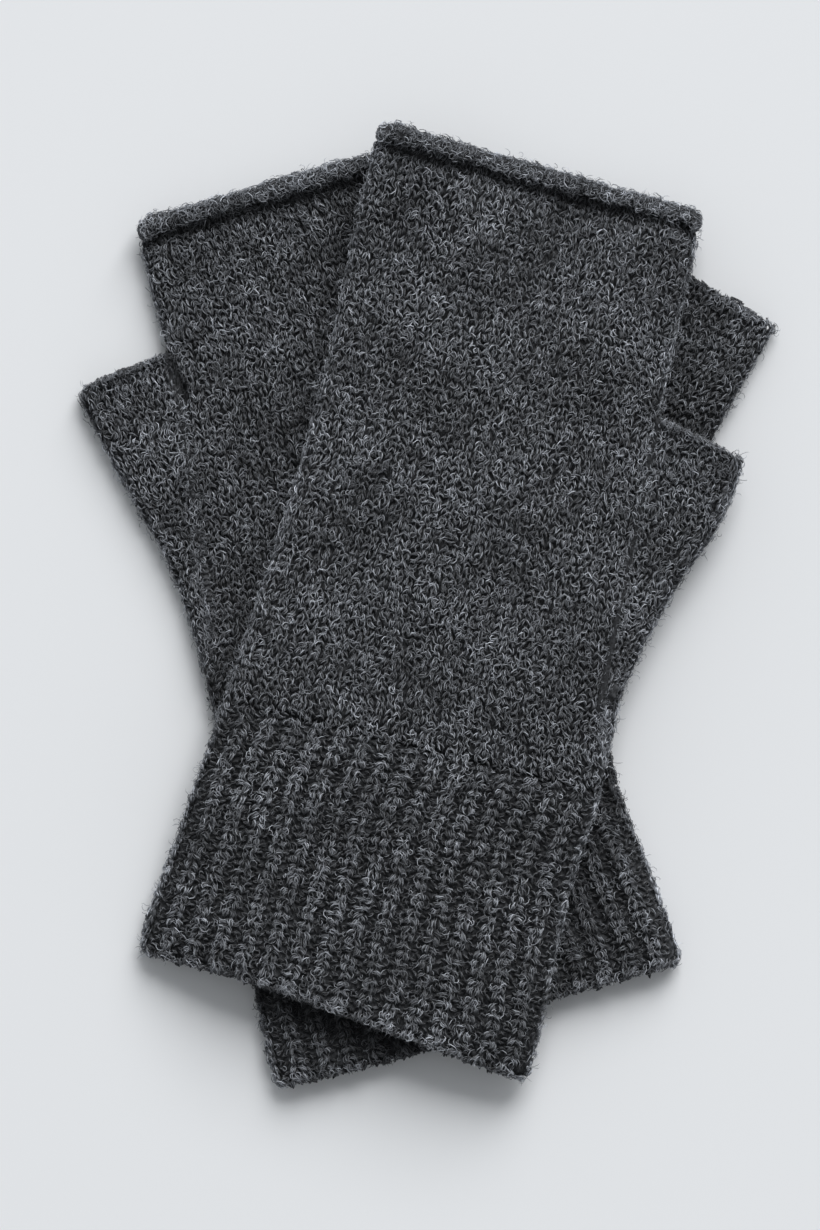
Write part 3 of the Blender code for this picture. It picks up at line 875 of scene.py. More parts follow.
def spindle(name, path, radii, sides):
    """A closed strand with pointed ends: rings of corners round the places of a path."""
    mesh = bmesh.new()
    rings = [bmesh.ops.create_circle(mesh, cap_ends=True, segments=sides, radius=1)["verts"]]
    top = mesh.faces[:]
    for _ in path[1:]:
        grown = bmesh.ops.extrude_face_region(mesh, geom=top)["geom"]
        bmesh.ops.delete(mesh, geom=top, context="FACES_ONLY")
        rings.append([item for item in grown if isinstance(item, bmesh.types.BMVert)])
        top = [item for item in grown if isinstance(item, bmesh.types.BMFace)]
    for i, (ring, radius) in enumerate(zip(rings, radii)):
        ahead = path[min(i + 1, len(path) - 1)] - path[max(i - 1, 0)]
        side = ahead.cross(Vector((0, 0, 1))).normalized()
        up = side.cross(ahead).normalized()
        for vertex in ring:
            vertex.co = path[i] + radius * (vertex.co.x * side + vertex.co.y * up)
    for ring, tip in ((rings[0], path[0]), (rings[-1], path[-1])):
        bmesh.ops.pointmerge(mesh, verts=ring, merge_co=tip)
    bmesh.ops.recalc_face_normals(mesh, faces=mesh.faces[:])
    return bpy.data.objects.new(name, finished(mesh, name))


# A leg: where its corners are along it, how thick it is there, how steeply its ends fall, and how far
# each kind of leg bends aside
LEG_SHARES = (0.0, 0.3, 0.7, 1.0)
LEG_RADII = (0, 0.5, 0.48, 0)
LEG_FALL = 2.2
LEG_BENDS = (-0.08, 0.0, 0.1)


def leg_shape(name, bend):
    """One leg of a stitch, a unit long and wide, that rises in the middle."""
    path = [
        Vector((bend * math.sin(math.pi * s), s - 0.5, 0.5 - LEG_FALL * (s - 0.5) ** 2))
        for s in LEG_SHARES
    ]
    return spindle(name, path, LEG_RADII, sides=3)


def fibre_shape(name, curl, thickness):
    """One loose fibre, a unit long: an arc that turns and may turn back."""
    steps = curl.steps
    place, heading, path = Vector((0, 0, 0)), -math.radians(curl.turn) / 2, []
    for i in range(steps + 1):
        path.append(place.copy())
        place += Vector((math.sin(heading), math.cos(heading), 0)) / steps
        heading += math.radians(curl.turn) / (steps - 1) * (1 if i < steps / 2 or not curl.back else -1)
    middle = sum(path, Vector()) / len(path)
    for i, point in enumerate(path):
        point -= middle
        point.z = curl.lift * math.sin(math.pi * i / steps)
    radii = [0] + [thickness / 2] * (steps - 1) + [0]
    return spindle(name, path, radii, sides=3)


# How a fibre curls: how far it turns in degrees, whether it turns back, how high its middle rises,
# and its number of straight stretches. Those of the plies turn right and left by turns.
Curl = namedtuple("Curl", "turn back lift steps")
PLY_CURLS = (
    Curl(25, False, 0.14, 3),
    Curl(-25, False, 0.14, 3),
    Curl(60, False, 0.15, 3),
    Curl(-60, False, 0.15, 3),
    Curl(95, False, 0.14, 3),
    Curl(-95, False, 0.14, 3),
    Curl(60, True, 0.14, 3),
    Curl(-60, True, 0.14, 3),
)
LOOSE_CURLS = (
    Curl(60, False, 0.08, 3),
    Curl(-95, False, 0.09, 3),
    Curl(125, False, 0.10, 4),
    Curl(-160, False, 0.12, 4),
    Curl(205, False, 0.12, 4),
    Curl(-250, False, 0.13, 5),
    Curl(90, True, 0.08, 3),
    Curl(-130, True, 0.10, 4),
)
PLY_THICKNESS = 0.095
LOOSE_THICKNESS = 0.064
FINE_THICKNESS = 0.045

LEGS = [leg_shape(f"leg_{i}", bend) for i, bend in enumerate(LEG_BENDS)]
PLIES = [fibre_shape(f"ply_{i}", curl, PLY_THICKNESS) for i, curl in enumerate(PLY_CURLS)]
LOOSE = [fibre_shape(f"loose_{i}", curl, LOOSE_THICKNESS) for i, curl in enumerate(LOOSE_CURLS)]
FINE = [fibre_shape(f"loose_fine_{i}", curl, FINE_THICKNESS) for i, curl in enumerate(LOOSE_CURLS)]


def strands_group(shapes):
    """Geometry nodes that lay a shape on each place, turned and sized by the place's attributes."""
    holder = bpy.data.collections.new(shapes[0].name + "_shapes")
    for shape in shapes:
        holder.objects.link(shape)
    group = bpy.data.node_groups.new("lay_" + shapes[0].name, "GeometryNodeTree")
    group.interface.new_socket("Geometry", in_out="INPUT", socket_type="NodeSocketGeometry")
    group.interface.new_socket("Geometry", in_out="OUTPUT", socket_type="NodeSocketGeometry")
    nodes, links = group.nodes, group.links

    def attribute(name, kind):
        node = nodes.new("GeometryNodeInputNamedAttribute")
        node.data_type = kind
        node.inputs["Name"].default_value = name
        return next(socket for socket in node.outputs if socket.enabled)

    source = nodes.new("NodeGroupInput")
    result = nodes.new("NodeGroupOutput")
    pick = nodes.new("GeometryNodeCollectionInfo")
    pick.inputs["Collection"].default_value = holder
    pick.inputs["Separate Children"].default_value = True
    pick.inputs["Reset Children"].default_value = True
    turned = nodes.new("FunctionNodeAxesToRotation")
    turned.primary_axis = "Z"
    turned.secondary_axis = "Y"
    links.new(attribute("outward", "FLOAT_VECTOR"), turned.inputs["Primary Axis"])
    links.new(attribute("along", "FLOAT_VECTOR"), turned.inputs["Secondary Axis"])
    lay = nodes.new("GeometryNodeInstanceOnPoints")
    lay.inputs["Pick Instance"].default_value = True
    links.new(source.outputs[0], lay.inputs["Points"])
    links.new(pick.outputs[0], lay.inputs["Instance"])
    links.new(attribute("kind", "INT"), lay.inputs["Instance Index"])
    links.new(turned.outputs[0], lay.inputs["Rotation"])
    links.new(attribute("size", "FLOAT_VECTOR"), lay.inputs["Scale"])
    real = nodes.new("GeometryNodeRealizeInstances")
    links.new(lay.outputs[0], real.inputs[0])
    links.new(real.outputs[0], result.inputs[0])
    return group


LEG_GROUP = strands_group(LEGS)
PLY_GROUP = strands_group(PLIES)
LOOSE_GROUP = strands_group(LOOSE + FINE)


class Strands:
    """Strands gathered as arrays of places, directions, sizes and shades, until they are one mesh.

    Those that would lie deep under the mitten on top, or in the floor, are left out.
    """

    def __init__(self, group, kinds, mitten, hiders):
        self.group = group
        self.kinds = kinds
        self.mitten = mitten
        self.hiders = hiders
        self.parts = []

    def add(self, place, along, outward, size, shade, kind):
        """Adds strands that point along, face outward and have a shade from 0, dark, to 1, light.

        Those close beside the mitten on top, or near its lines of painted shade, get painted shade.
        """
        along, outward = unit(along), unit(outward)
        low = place[:, 2] - np.abs(along[:, 2]) * size[:, 1] / 2
        kept = low > FLOOR_CLEAR
        for outline in self.hiders:
            off = distance_outside(outline, place[:, 0], place[:, 1])
            kept &= off > -HIDDEN_DEPTH
            # Painted shade beside the mitten on top
            shade = shade * (1 - BESIDE_PAINTED_SHADE * np.exp(-np.maximum(off, 0) / BESIDE_SHADE_REACH))
        # Painted shade along the mitten's lines of painted shade
        shade = shade * (1 - self.mitten.painted_shade_at(place[:, 0], place[:, 1]))
        if self.mitten.pinhole:
            kept &= self.clear_of_pinhole(place, along, size[:, 1])
        parts = (place, along, outward, size, shade[:, None], kind[:, None])
        self.parts.append([part[kept] for part in parts])

    def clear_of_pinhole(self, place, along, long):
        """Which strands don't pass over the mitten's pinhole, seen from above."""
        hole = self.mitten.pinhole
        way = np.array(self.mitten.flat(hole.across, hole.along)) - place[:, :2]
        share = np.clip(np.sum(way * along[:, :2], 1), -long / 2, long / 2)
        off = way - share[:, None] * along[:, :2]
        return np.hypot(off[:, 0], off[:, 1]) > hole.reach

    def piece(self, name, material):
        """All the strands as one piece."""
        place, along, outward, size, shade, kind = (np.concatenate(p) for p in zip(*self.parts))
        mesh = bpy.data.meshes.new(name)
        mesh.vertices.add(len(place))
        mesh.vertices.foreach_set("co", (place * MM).ravel())
        for word, values in (("along", along), ("outward", outward), ("size", size * MM)):
            mesh.attributes.new(word, "FLOAT_VECTOR", "POINT").data.foreach_set("vector", values.ravel())
        mesh.attributes.new("shade", "FLOAT", "POINT").data.foreach_set("value", shade.ravel())
        mesh.attributes.new("kind", "INT", "POINT").data.foreach_set("value", kind.ravel() % self.kinds)
        carrier = in_scene(name + "_places", mesh)
        carrier.modifiers.new("lay", "NODES").node_group = self.group
        seen = carrier.evaluated_get(bpy.context.evaluated_depsgraph_get())
        laid = bpy.data.meshes.new_from_object(seen)
        bpy.data.objects.remove(carrier)
        laid.name = name
        for word in ("along", "outward", "size", "kind"):
            if word in laid.attributes:
                laid.attributes.remove(laid.attributes[word])
        return new_piece(name, laid, material)


class Wool:
    """All the wool on one tube: the stitches' legs, the plies on them and the loose nap."""

    def __init__(self, seed, mitten, hiders):
        self.random = np.random.default_rng([SEED, seed])
        self.legs = Strands(LEG_GROUP, len(LEGS), mitten, hiders)
        self.plies = Strands(PLY_GROUP, len(PLIES), mitten, hiders)
        self.nap = Strands(LOOSE_GROUP, len(LOOSE) + len(FINE), mitten, hiders)

    def jitter(self, spread, count):
        """Random differences with a mean of nothing."""
        return self.random.normal(0, spread, count)

    def angles(self, stray, count, middle=0.0):
        """Random angles round a middle one: degrees turned into radians, as a column."""
        return np.radians(middle + self.jitter(stray, count))[:, None]

    def sizes(self, made, stray, shape, limits=(0, 2), small=1.0):
        """Random sizes of a leg or a loop, within limits."""
        size = np.array([made.leg_width, made.leg_length, made.leg_depth]) * small
        return size * (1 + self.jitter(stray, shape)).clip(*limits)

    def kind(self, count, low=0, high=ANY_KIND):
        """Random kinds of strand."""
        return self.random.integers(low, high, count)

    def leg(self, place, heading, outward, size, shade, made, bow=0):
        """Legs of stitches, each with its plies: fine strands side by side that curl the same way.

        A bow of 1 curls them to the left and one of -1 to the right, and 0 takes them as they come.
        """
        count = len(place)
        light = shade * LEG_LIGHT + self.jitter(LIGHT_STRAY, count)
        self.legs.add(place, heading, outward, size, light, self.kind(count))
        kind = self.kind(count) if bow == 0 else 2 * self.kind(count) + (bow < 0)
        turn = self.angles(LEG_TURN, count)
        bright = self.random.beta(*LEG_TONES, count)
        across = unit(np.cross(heading, outward))
        for ply in range(made.plies):
            facing = turned(heading, across, turn + self.angles(PLY_TURN, count))
            aside = (ply - (made.plies - 1) / 2) * made.ply_gap + self.jitter(made.ply_gap / 3, count)
            ahead = self.jitter(made.ply_length * PLY_AHEAD, count)
            top = size[:, 2] * PLY_TOP + self.jitter(PLY_STRAY, count)
            top -= size[:, 2] * (aside / size[:, 0]) ** 2
            laid = place + aside[:, None] * across + ahead[:, None] * heading + top[:, None] * outward
            long = made.ply_length * self.random.uniform(*PLY_LENGTHS, count)
            laid = laid - outward * (PLY_SINK * long)[:, None]
            own = PLY_SHARED * bright + (1 - PLY_SHARED) * self.random.beta(*PLY_TONES, count)
            tone = PLY_DARKEST + PLY_LIGHT * (PLY_LEAST + own) * self.random.uniform(*PLY_LIGHTS, count)
            odd = self.random.uniform(0, 1, count) < PLY_ODD
            self.plies.add(laid, facing, outward, np.repeat(long[:, None], 3, 1),
                           tone * shade / PLAIN_SHADE, np.where(odd, self.kind(count), kind))


def stitches(wool, surface, run, side, gauge, shade, raised=0.0, small=1.0):
    """The two legs of each stitch at these places: they lean together towards the finger end."""
    count = len(run)
    for way in (-1, 1):
        at_run = run + wool.jitter(ALONG_STRAY, count)
        at_side = side + way * LEG_ASIDE * gauge.wale + wool.jitter(ASIDE_STRAY, count)
        place, across, along, outward = surface.at(at_run, at_side)
        heading = turned(along, -way * across, wool.angles(LEAN_STRAY, count, gauge.lean))
        size = wool.sizes(gauge, SIZE_STRAY, (count, 3), SIZE_LIMITS, small)
        sunk = LEG_SINK - raised + wool.jitter(SINK_STRAY, count)
        wool.leg(place - outward * sunk[:, None], heading, outward, size, shade, gauge, -way)


def heather(place):
    """Slow and quick changes in the wool's shade over the cloth."""
    x, y = place[:, 0], place[:, 1]
    shade = 1
    for c in CLOUDS:
        crossing = np.sin(x / c.x_over + c.x_sway * np.sin(y / c.x_sway_over))
        shade = shade + c.strength * (
            crossing + np.sin(y / c.y_over + c.y_sway * np.sin(x / c.y_sway_over) + c.shift)
        )
    return shade


def plain_knit(wool, surface, wales=None, from_right=False):
    """Plain stitches over a surface and round its side folds.

    Either a number of columns that share the way from side to side, or columns of one width that
    start at a side fold and end at the seam on the other side.
    """
    courses = round(surface.length / PLAIN.course)
    run = (np.arange(courses) + 0.5) * surface.length / courses
    width = surface.round_at(run)
    if wales:
        columns = np.arange(-1, wales + 1)
        side = (columns[None, :] + 0.5) * (width / wales)[:, None]
    else:
        columns = np.arange(-1, math.ceil(width.max() / PLAIN.wale) + 1)
        side = (columns[None, :] + 0.5) * PLAIN.wale * np.ones((courses, 1))
        if from_right:
            side = width[:, None] - side
    beyond = PAST_SEAM + PAST_FOLD * surface.folded(run)
    kept = (side > -beyond[0][:, None]) & (side < width[:, None] + beyond[1][:, None])
    side = side + waving(run[:, None], PLAIN_WAVES, columns[None, :])
    ends = np.where(surface.folded(run) < 0.5, SEAM_INSET, NO_INSET)
    side = np.clip(side, ends[0][:, None], (width - ends[1])[:, None])[kept]
    step = wool.random.uniform(-PLAIN_STEP, PLAIN_STEP, len(columns)) * PLAIN.course
    run = (run[:, None] + step[None, :])[kept]
    stitches(wool, surface, run, side, PLAIN, PLAIN_SHADE * heather(surface.at(run, side)[0]))


def rib_knit(wool, surface):
    """Columns of large stitches on the ribs, and the bars of the purl stitches between them."""
    courses = round(surface.length / RIBBED.course)
    fold = FOLD_RADIUS * math.pi / 2
    for number in range(-1, RIBS_ACROSS + 1):
        shift = RIB_SHIFT * math.sin(number * RIB_SHIFT_TURN)
        run = (np.arange(courses) + 0.5 + shift) * surface.length / courses
        pitch = (surface.round_at(run) - 2 * fold) / RIBS_ACROSS
        middle = fold + (number + 0.5 + wander(run)) * pitch
        to_hand = surface.length - run
        shade = RIB_SHADE * heather(surface.at(run, middle)[0])
        small = RIB_SMALL + (1 - RIB_SMALL) * ease(to_hand / RIB_SMALL_REACH)
        stitches(wool, surface, run, middle, RIBBED, shade, RIB_RAISED, small[:, None])
        if number >= 0:
            gully = fold + (number + wander(run)) * pitch
            # Painted shade on the gully's purl bars, less of it near the hand
            dark = GULLY_PAINTED_SHADE + (RIB_SHADE - GULLY_PAINTED_SHADE) * (1 - ease(to_hand / GULLY_REACH))
            for ahead, aside in PURL_PLACES:
                purl_bars(wool, surface, run + RIBBED.course * ahead, gully + aside, dark)


def purl_bars(wool, surface, run, side, shade):
    """The low bars that cross a gully between two ribs."""
    count = len(run)
    place, across, along, outward = surface.at(run, side + wool.jitter(PURL_STRAY, count))
    heading = turned(across, along, wool.angles(PURL_LEAN, count))
    size = wool.sizes(PURL_LOOP, SMALL_STRAY, (count, 1))
    shade = shade * (1 + wool.jitter(PURL_TONE_STRAY, count))
    wool.leg(place - PURL_SINK * outward, heading, outward, size, shade, PURL_LOOP)


def to_and_fro(wool, edge, count):
    """How the loops of an edge lean, each one the other way from the last."""
    return wool.angles(LOOP_LEAN_STRAY, count, np.where(np.arange(count) % 2, 1, -1) * edge.tilt)


def edge_loops(wool, surface, run, raised, edge):
    """A row of small loops lying across an edge."""
    width = float(surface.round_at(run))
    side = np.arange(edge.inset, width - edge.inset + LAST_TOO, edge.pitch)
    count = len(side)
    place, across, along, outward = surface.at(run + wool.jitter(LOOP_STRAY, count), side)
    heading = turned(across, along, to_and_fro(wool, edge, count))
    size = wool.sizes(edge.loop, LOOP_STRAY, (count, 1), LOOP_LIMITS)
    place = place + raised * outward
    wool.leg(place, heading, outward, size, edge.shade * heather(place), edge.loop)


def palm_end(wool, palm, rows, edge):
    """Loops along the cut of the panel underneath: at one row, and away from one further in."""
    row, inner = rows
    cut = palm.points[row]
    width = float(palm.rounds[row])
    side = np.arange(edge.inset, width - edge.inset, edge.pitch)
    column = side / width * (len(cut) - 1)
    low = np.floor(column).astype(int)
    share = (column - low)[:, None]
    place = cut[low] * (1 - share) + cut[low + 1] * share
    out = unit(cut[low] - palm.points[inner][low])
    across = unit(cut[low + 1] - cut[low])
    count = len(side)
    heading = turned(across, np.cross(out, across), to_and_fro(wool, edge, count))
    size = wool.sizes(edge.loop, SMALL_STRAY, (count, 1))
    place = place + np.array([0, 0, SHELL_WALL / 2]) + PALM_OUT * out
    wool.leg(place, heading, out, size, edge.shade * heather(place), edge.loop)


def rolled_loops(wool, roll):
    """The purl side of the knit, which shows round the roll and at its two ends."""
    for turn in ROLL_TURNS:
        run = roll.length * turn / math.degrees(ROLL_TURN)
        edge_loops(wool, roll, run, ROLL_RAISED, ROLL_EDGE)
    for end, inner in ROLL_ENDS:
        ring = roll.points[RING_START:, end]
        middle = ring.mean(0)
        dome(wool, middle, ring, unit(middle - roll.points[RING_START:, inner].mean(0)))


def dome(wool, middle, ring, out):
    """A dome of loops that closes an end of the roll."""
    share = np.sqrt(wool.random.uniform(0, 1, DOME_COUNT))[:, None]
    spoke = ring[wool.random.integers(0, len(ring), DOME_COUNT)] - middle
    place = middle + spoke * share * DOME_REACH + out * DOME_HEIGHT * (1 - share**2)
    outward = unit(out * (DOME_LIFT - share) + unit(spoke) * share)
    heading = np.cross(outward, unit(wool.jitter(1, (DOME_COUNT, 3))))
    size = wool.sizes(DOME_LOOP, SMALL_STRAY, (DOME_COUNT, 1))
    shade = np.full(DOME_COUNT, ROLL_SHADE)
    wool.leg(place - DOME_SINK * outward, heading, outward, size, shade, DOME_LOOP)


# ---------------------------------------------------------------- the nap

def scatter(wool, surface, nap, low=0.0, high=None, sides=None):
    """Fibres over a stretch of a surface: between two distances along it and two sides."""
    high = surface.length if high is None else high
    left, right = sides or (-NAP_PAST, float(surface.rounds.max()) + NAP_PAST)
    count = int(nap.density * (high - low) * (right - left) / NAP_SQUARE)
    run = wool.random.uniform(low, high, count)
    side = wool.random.uniform(left, right, count)
    past = NAP_ROUND if sides else NAP_PAST
    kept = (side > -NAP_ROUND) & (side < surface.round_at(run) + past)
    own = np.ones(count)
    if surface.ribbed:
        high_up = on_rib(surface, run, side)
        kept &= wool.random.uniform(0, 1, count) < GULLY_NAP + (1 - GULLY_NAP) * high_up
        # Painted shade on the nap in a gully
        own = 1 - GULLY_NAP_PAINTED_SHADE * (1 - high_up)
    run, side, own = run[kept], side[kept], own[kept]
    count = len(run)
    place, across, along, outward = surface.at(run, side)
    turn = np.radians(wool.jitter(nap.spread, count) + 180 * wool.random.integers(0, 2, count))[:, None]
    flat = turned(along, across, turn)
    lift = np.radians(np.abs(wool.jitter(nap.lift, count)))[:, None]
    heading = turned(flat, outward, lift)
    facing = unit(turned(outward, -flat, lift))
    facing = turned(facing, np.cross(heading, facing), wool.angles(NAP_ROLL, count))
    long = wool.random.uniform(nap.short, nap.long, count)
    raised = nap.height + np.sin(lift[:, 0]) * long / 2 + wool.jitter(NAP_STRAY, count)
    tone = nap.dark + (nap.light - nap.dark) * wool.random.beta(*NAP_TONES, count)
    wool.nap.add(place + outward * raised[:, None], heading, facing, np.repeat(long[:, None], 3, 1),
                 tone * own * heather(place), wool.kind(count, nap.first, nap.last))


def nap_over(wool, surface):
    """The loose nap of a surface: curls, and a fine halo at the side folds."""
    scatter(wool, surface, CURLED)
    scatter(wool, surface, HALO, sides=(-HALO_HALF, HALO_HALF))
    for low in np.arange(0, surface.length, HALO_STEP):
        high = min(low + HALO_STEP, surface.length)
        over = float(surface.round_at((low + high) / 2))
        scatter(wool, surface, HALO, low, high, (over - HALO_HALF, over + HALO_HALF))


# ---------------------------------------------------------------- materials

def group_of(name, inputs, outputs):
    """An empty shader group with named sockets, its input node and its output node."""
    group = bpy.data.node_groups.new(name, "ShaderNodeTree")
    for word, kind in inputs:
        group.interface.new_socket(word, in_out="INPUT", socket_type=kind)
    for word, kind in outputs:
        group.interface.new_socket(word, in_out="OUTPUT", socket_type=kind)
    return group, group.nodes.new("NodeGroupInput"), group.nodes.new("NodeGroupOutput")


def sum_node(tree, operation, first, second=None, third=None):
    """A Math node: each value is a number or a socket."""
    node = tree.nodes.new("ShaderNodeMath")
    node.operation = operation
    for socket, value in zip(node.inputs, (first, second, third)):
        if isinstance(value, bpy.types.NodeSocket):
            tree.links.new(value, socket)
        elif value is not None:
            socket.default_value = value
    return node.outputs[0]


def set_inputs(node, **values):
    """Sets a node's inputs by their names, with low lines for spaces."""
    for word, value in values.items():
        node.inputs[word.replace("_", " ")].default_value = value


def heathered_wool_group():
    """Wool spun from dark and light fibres: a shade turned into a colour, with flecks."""
    group, source, result = group_of(
        "heathered_wool",
        [("Shade", "NodeSocketFloat"), ("Fleck", "NodeSocketFloat"), ("Dark", "NodeSocketColor"),
         ("Light", "NodeSocketColor")],
        [("Color", "NodeSocketColor"), ("Height", "NodeSocketFloat")],
    )
    where = group.nodes.new("ShaderNodeTexCoord")
    fleck = group.nodes.new("ShaderNodeTexNoise")
    set_inputs(fleck, Scale=FLECK_SCALE, Detail=2)
    group.links.new(where.outputs["Object"], fleck.inputs["Vector"])
    off = sum_node(group, "SUBTRACT", fleck.outputs["Fac"], 0.5)
    flecked = sum_node(group, "MULTIPLY_ADD", off, source.outputs["Fleck"], source.outputs["Shade"])
    mix = group.nodes.new("ShaderNodeMix")
    mix.data_type = "RGBA"
    group.links.new(flecked, mix.inputs["Factor"])
    group.links.new(source.outputs["Dark"], mix.inputs["A"])
    group.links.new(source.outputs["Light"], mix.inputs["B"])
    group.links.new(mix.outputs["Result"], result.inputs["Color"])
    group.links.new(fleck.outputs["Fac"], result.inputs["Height"])
    return group


HEATHERED = heathered_wool_group()


def knit_relief_group():
    """The relief of plain knit on a map of stitches: two legs that lean together in each."""
    group, source, result = group_of(
        "knit_relief", [("Stitches", "NodeSocketVector")], [("Height", "NodeSocketFloat")]
    )
    parts = group.nodes.new("ShaderNodeSeparateXYZ")
    group.links.new(source.outputs["Stitches"], parts.inputs[0])
    across = sum_node(group, "FRACT", parts.outputs["X"])
    aside = sum_node(group, "ABSOLUTE", sum_node(group, "SUBTRACT", across, 0.5))
    leg = sum_node(group, "SINE", sum_node(group, "MULTIPLY", aside, 2 * math.pi))
    leaning = sum_node(group, "MULTIPLY_ADD", aside, LEG_SLANT, parts.outputs["Y"])
    wave = sum_node(group, "SINE", sum_node(group, "MULTIPLY", leaning, 2 * math.pi))
    rounded = sum_node(group, "MULTIPLY_ADD", wave, 0.5, 0.5)
    group.links.new(sum_node(group, "MULTIPLY", rounded, leg), result.inputs["Height"])
    return group


KNIT_RELIEF = knit_relief_group()


def plain_material(name, **values):
    """A new material with these values in its shader, its tree and that shader."""
    material = bpy.data.materials.new(name)
    material.use_nodes = True
    shader = material.node_tree.nodes["Principled BSDF"]
    set_inputs(shader, **values)
    return material, material.node_tree, shader


def wool_nodes(tree, shader, fleck, bump_values, attribute):
    """Heathered wool and a bump on a shader, and the value of a mesh's attribute."""
    known = tree.nodes.new("ShaderNodeAttribute")
    known.attribute_name = attribute
    wool = tree.nodes.new("ShaderNodeGroup")
    wool.node_tree = HEATHERED
    set_inputs(wool, Fleck=fleck, Dark=CHARCOAL.dark, Light=CHARCOAL.light)
    tree.links.new(wool.outputs["Color"], shader.inputs["Base Color"])
    bump = tree.nodes.new("ShaderNodeBump")
    set_inputs(bump, Strength=bump_values[0], Distance=bump_values[1])
    tree.links.new(bump.outputs["Normal"], shader.inputs["Normal"])
    return wool, bump, known.outputs["Fac"]


def wool_material(name, fleck):
    """Matte wool whose colour comes from the shade of each strand."""
    material, tree, shader = plain_material(
        name, Roughness=ROUGHNESS, Sheen_Weight=SHEEN, Sheen_Roughness=SHEEN_ROUGHNESS,
        Specular_IOR_Level=SPECULAR)
    wool, bump, shade = wool_nodes(tree, shader, fleck, WOOL_BUMP, "shade")
    tree.links.new(shade, wool.inputs["Shade"])
    tree.links.new(wool.outputs["Height"], bump.inputs["Height"])
    return material


def shell_material(name):
    """The cloth behind the stitches: painted shade where stitches cover it; knit underneath, with painted
    shade in its hollows.
    """
    material, tree, shader = plain_material(name, Roughness=ROUGHNESS)
    wool, bump, covered = wool_nodes(tree, shader, SHELL_FLECK, SHELL_BUMP, "covered")
    stitched = tree.nodes.new("ShaderNodeUVMap")
    relief = tree.nodes.new("ShaderNodeGroup")
    relief.node_tree = KNIT_RELIEF
    tree.links.new(stitched.outputs["UV"], relief.inputs["Stitches"])
    tree.links.new(relief.outputs["Height"], bump.inputs["Height"])
    bare = sum_node(tree, "MULTIPLY_ADD", relief.outputs["Height"], BARE_RELIEF, BARE_SHADE)
    shown = sum_node(tree, "MULTIPLY_ADD", covered, -COVERED_PAINTED_SHADE, 1.0)
    tree.links.new(sum_node(tree, "MULTIPLY", bare, shown), wool.inputs["Shade"])
    return material


STITCH_WOOL = wool_material("stitch_wool", fleck=0.32)
FIBRE_WOOL = wool_material("fibre_wool", fleck=0.2)
SHELL_WOOL = shell_material("shell_wool")


# ---------------------------------------------------------------- the pieces

def knit_piece(name, table, slot, work, seed, columns, mitten, hiders=(), rests_on=("floor",),
               roll=False, lip=False, ribbed=False):
    """One tube: its shell, its stitches, plies and nap, with the imported back and palm hidden."""
    top = top_surface(mitten, table, ribbed, lip)
    palm = palm_surface(mitten, table)
    inner = roll_surface(mitten, table, ROLL_RADIUS - ROLL_WALL / 2, 1) if roll else None
    outer = roll_surface(mitten, table, ROLL_FRONT, -1) if roll else None
    cloth = shell(name, top, palm, SHELL_WOOL, columns, inner)
    wool = Wool(seed, mitten, hiders)
    work(wool, top, palm, outer)
    sewn = [
        wool.legs.piece(name + "_stitches", STITCH_WOOL),
        wool.plies.piece(name + "_plies", FIBRE_WOOL),
        wool.nap.piece(name + "_nap", FIBRE_WOOL),
    ]
    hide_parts(name + "_back", name + "_palm")


def hand_work(wales):
    """What is worked on a hand: plain stitches, the rolled edge and the nap."""
    def work(wool, top, palm, outer):
        plain_knit(wool, top, wales=wales)
        palm_end(wool, palm, PALM_END, PALM_RIM)
        rolled_loops(wool, outer)
        nap_over(wool, top)
        for nap in (ROLL_CURLED, ROLL_HALO):
            scatter(wool, outer, nap, outer.length * ROLL_NAP_START)
    return work


def sleeve_work(wales=None, from_right=False):
    """What is worked on a thumb or side sleeve: plain stitches, its rim and the nap."""
    def work(wool, top, palm, outer):
        plain_knit(wool, top, wales=wales, from_right=from_right)
        palm_end(wool, palm, PALM_END, PALM_RIM)
        for back, raised in RIM_ROWS:
            edge_loops(wool, top, top.length - back, raised, RIM_EDGE)
        nap_over(wool, top)
        scatter(wool, top, EDGE_HALO, top.length - EDGE_BAND)
    return work


def cuff_work(wool, top, palm, outer):
    """What is worked on a cuff: ribs, a cast-on edge and the nap."""
    rib_knit(wool, top)
    palm_end(wool, palm, PALM_START, PALM_HEM)
    for run, raised in HEM_ROWS:
        edge_loops(wool, top, run, raised, HEM_EDGE)
    nap_over(wool, top)
    scatter(wool, top, EDGE_HALO, high=EDGE_BAND)
    scatter(wool, top, HEM_CURLED, *HEM_BAND)


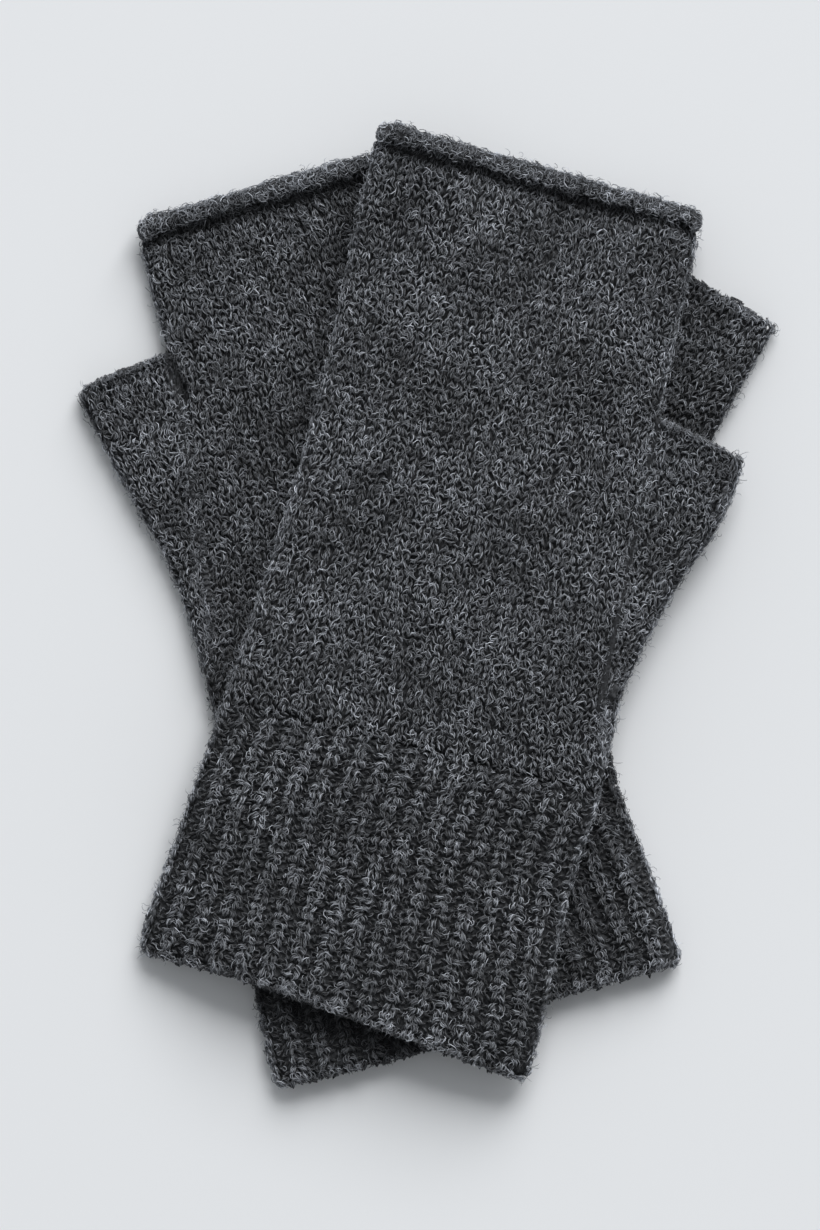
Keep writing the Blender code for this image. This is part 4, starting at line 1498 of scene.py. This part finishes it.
def build_pair():
    """Both mittens, the lower one first."""
    lower = Mitten(LOWER_PLACE, LOWER_HEM, LOWER_CREASES, LOWER_PAINTED_SHADES, lambda x, y: np.zeros(np.shape(x)))
    upper = Mitten(UPPER_PLACE, UPPER_HEM, UPPER_CREASES, UPPER_PAINTED_SHADES, resting_on(lower),
                   UPPER_PINHOLE)
    over = [upper.outline(UPPER_CUFF), upper.outline(UPPER_HAND), upper.outline(UPPER_THUMB)]
    below = {"mitten": lower, "hiders": over}
    above = {"mitten": upper, "rests_on": ["lower_cuff", "lower_hand"]}
    knit_piece("lower_cuff", LOWER_CUFF, "rib_knit", cuff_work, 1, columns=90, ribbed=True, **below)
    knit_piece("lower_hand", LOWER_HAND, "plain_knit", hand_work(wales=40), 2, columns=44, roll=True,
               **below)
    knit_piece("lower_thumb", LOWER_THUMB, "plain_knit", sleeve_work(), 3, columns=16, lip=True,
               **below)
    knit_piece("lower_side_sleeve", LOWER_SLEEVE, "plain_knit", sleeve_work(wales=17), 4, columns=24,
               lip=True, **below)
    knit_piece("upper_cuff", UPPER_CUFF, "rib_knit", cuff_work, 5, columns=90, ribbed=True, **above)
    knit_piece("upper_hand", UPPER_HAND, "plain_knit", hand_work(wales=41), 6, columns=44, roll=True,
               **above)
    knit_piece("upper_thumb", UPPER_THUMB, "plain_knit", sleeve_work(from_right=True), 7, columns=16,
               lip=True, **above)


# ---------------------------------------------------------------- the room

FLOOR_SIZE = 8.0
FLOOR_COLOR = (0.797, 0.810, 0.828, 1)
SKY_COLOR = (0.95, 0.978, 1.0, 1)
SKY_OVERHEAD = 0.24
SKY_LOW = 0.92
SKY_AHEAD = 0.4
LAMP_PLACE = (3.2, 9.5, 6.9)
LAMP_SIZE = 8.5
LAMP_POWER = 1720


def floor():
    """A plain pale floor."""
    mesh = bmesh.new()
    bmesh.ops.create_grid(mesh, x_segments=1, y_segments=1, size=FLOOR_SIZE / 2)
    data = finished(mesh, "floor")
    paint, _, _ = plain_material(
        "floor_paint", Base_Color=FLOOR_COLOR, Roughness=1.0, Specular_IOR_Level=0.0)
    data.materials.append(paint)
    in_scene("floor", data)


def lamp():
    """A soft square light that points at the pair from beyond the finger ends."""
    data = bpy.data.lights.new("window", "AREA")
    data.shape = "SQUARE"
    data.size = LAMP_SIZE
    data.energy = LAMP_POWER
    light = in_scene("window", data)
    light.location = LAMP_PLACE
    light.rotation_euler = (-Vector(LAMP_PLACE)).to_track_quat("-Z", "Y").to_euler()


def sky():
    """Even light from all round that is brighter low down and beyond the finger ends."""
    world = bpy.data.worlds.new("sky")
    world.use_nodes = True
    tree = world.node_tree
    where = tree.nodes.new("ShaderNodeTexCoord")
    parts = tree.nodes.new("ShaderNodeSeparateXYZ")
    tree.links.new(where.outputs["Generated"], parts.inputs[0])
    down = sum_node(tree, "SUBTRACT", 1.0, parts.outputs["Z"])
    low = sum_node(tree, "MULTIPLY", down, down)
    light = sum_node(tree, "MULTIPLY_ADD", low, SKY_LOW, SKY_OVERHEAD)
    ahead = sum_node(tree, "MULTIPLY_ADD", parts.outputs["Y"], SKY_AHEAD, 1.0)
    background = tree.nodes["Background"]
    background.inputs["Color"].default_value = SKY_COLOR
    tree.links.new(sum_node(tree, "MULTIPLY", light, ahead), background.inputs["Strength"])
    bpy.context.scene.world = world


def camera_above():
    """The camera straight above, and a plain rendering of its colours."""
    data = bpy.data.cameras.new("camera")
    data.sensor_width = SENSOR
    data.lens = SENSOR * (CAMERA_HEIGHT - VIEW_LEVEL) / (PHOTO_HEIGHT * PIXEL)
    data.clip_start, data.clip_end = CLIP
    camera = in_scene("camera", data)
    camera.location = (VIEW_X * MM, VIEW_Y * MM, CAMERA_HEIGHT * MM)
    bpy.context.scene.camera = camera
    bpy.context.scene.view_settings.view_transform = "Standard"
    bpy.context.scene.view_settings.look = "None"


camera_above()
sky()
lamp()
floor()
build_pair()
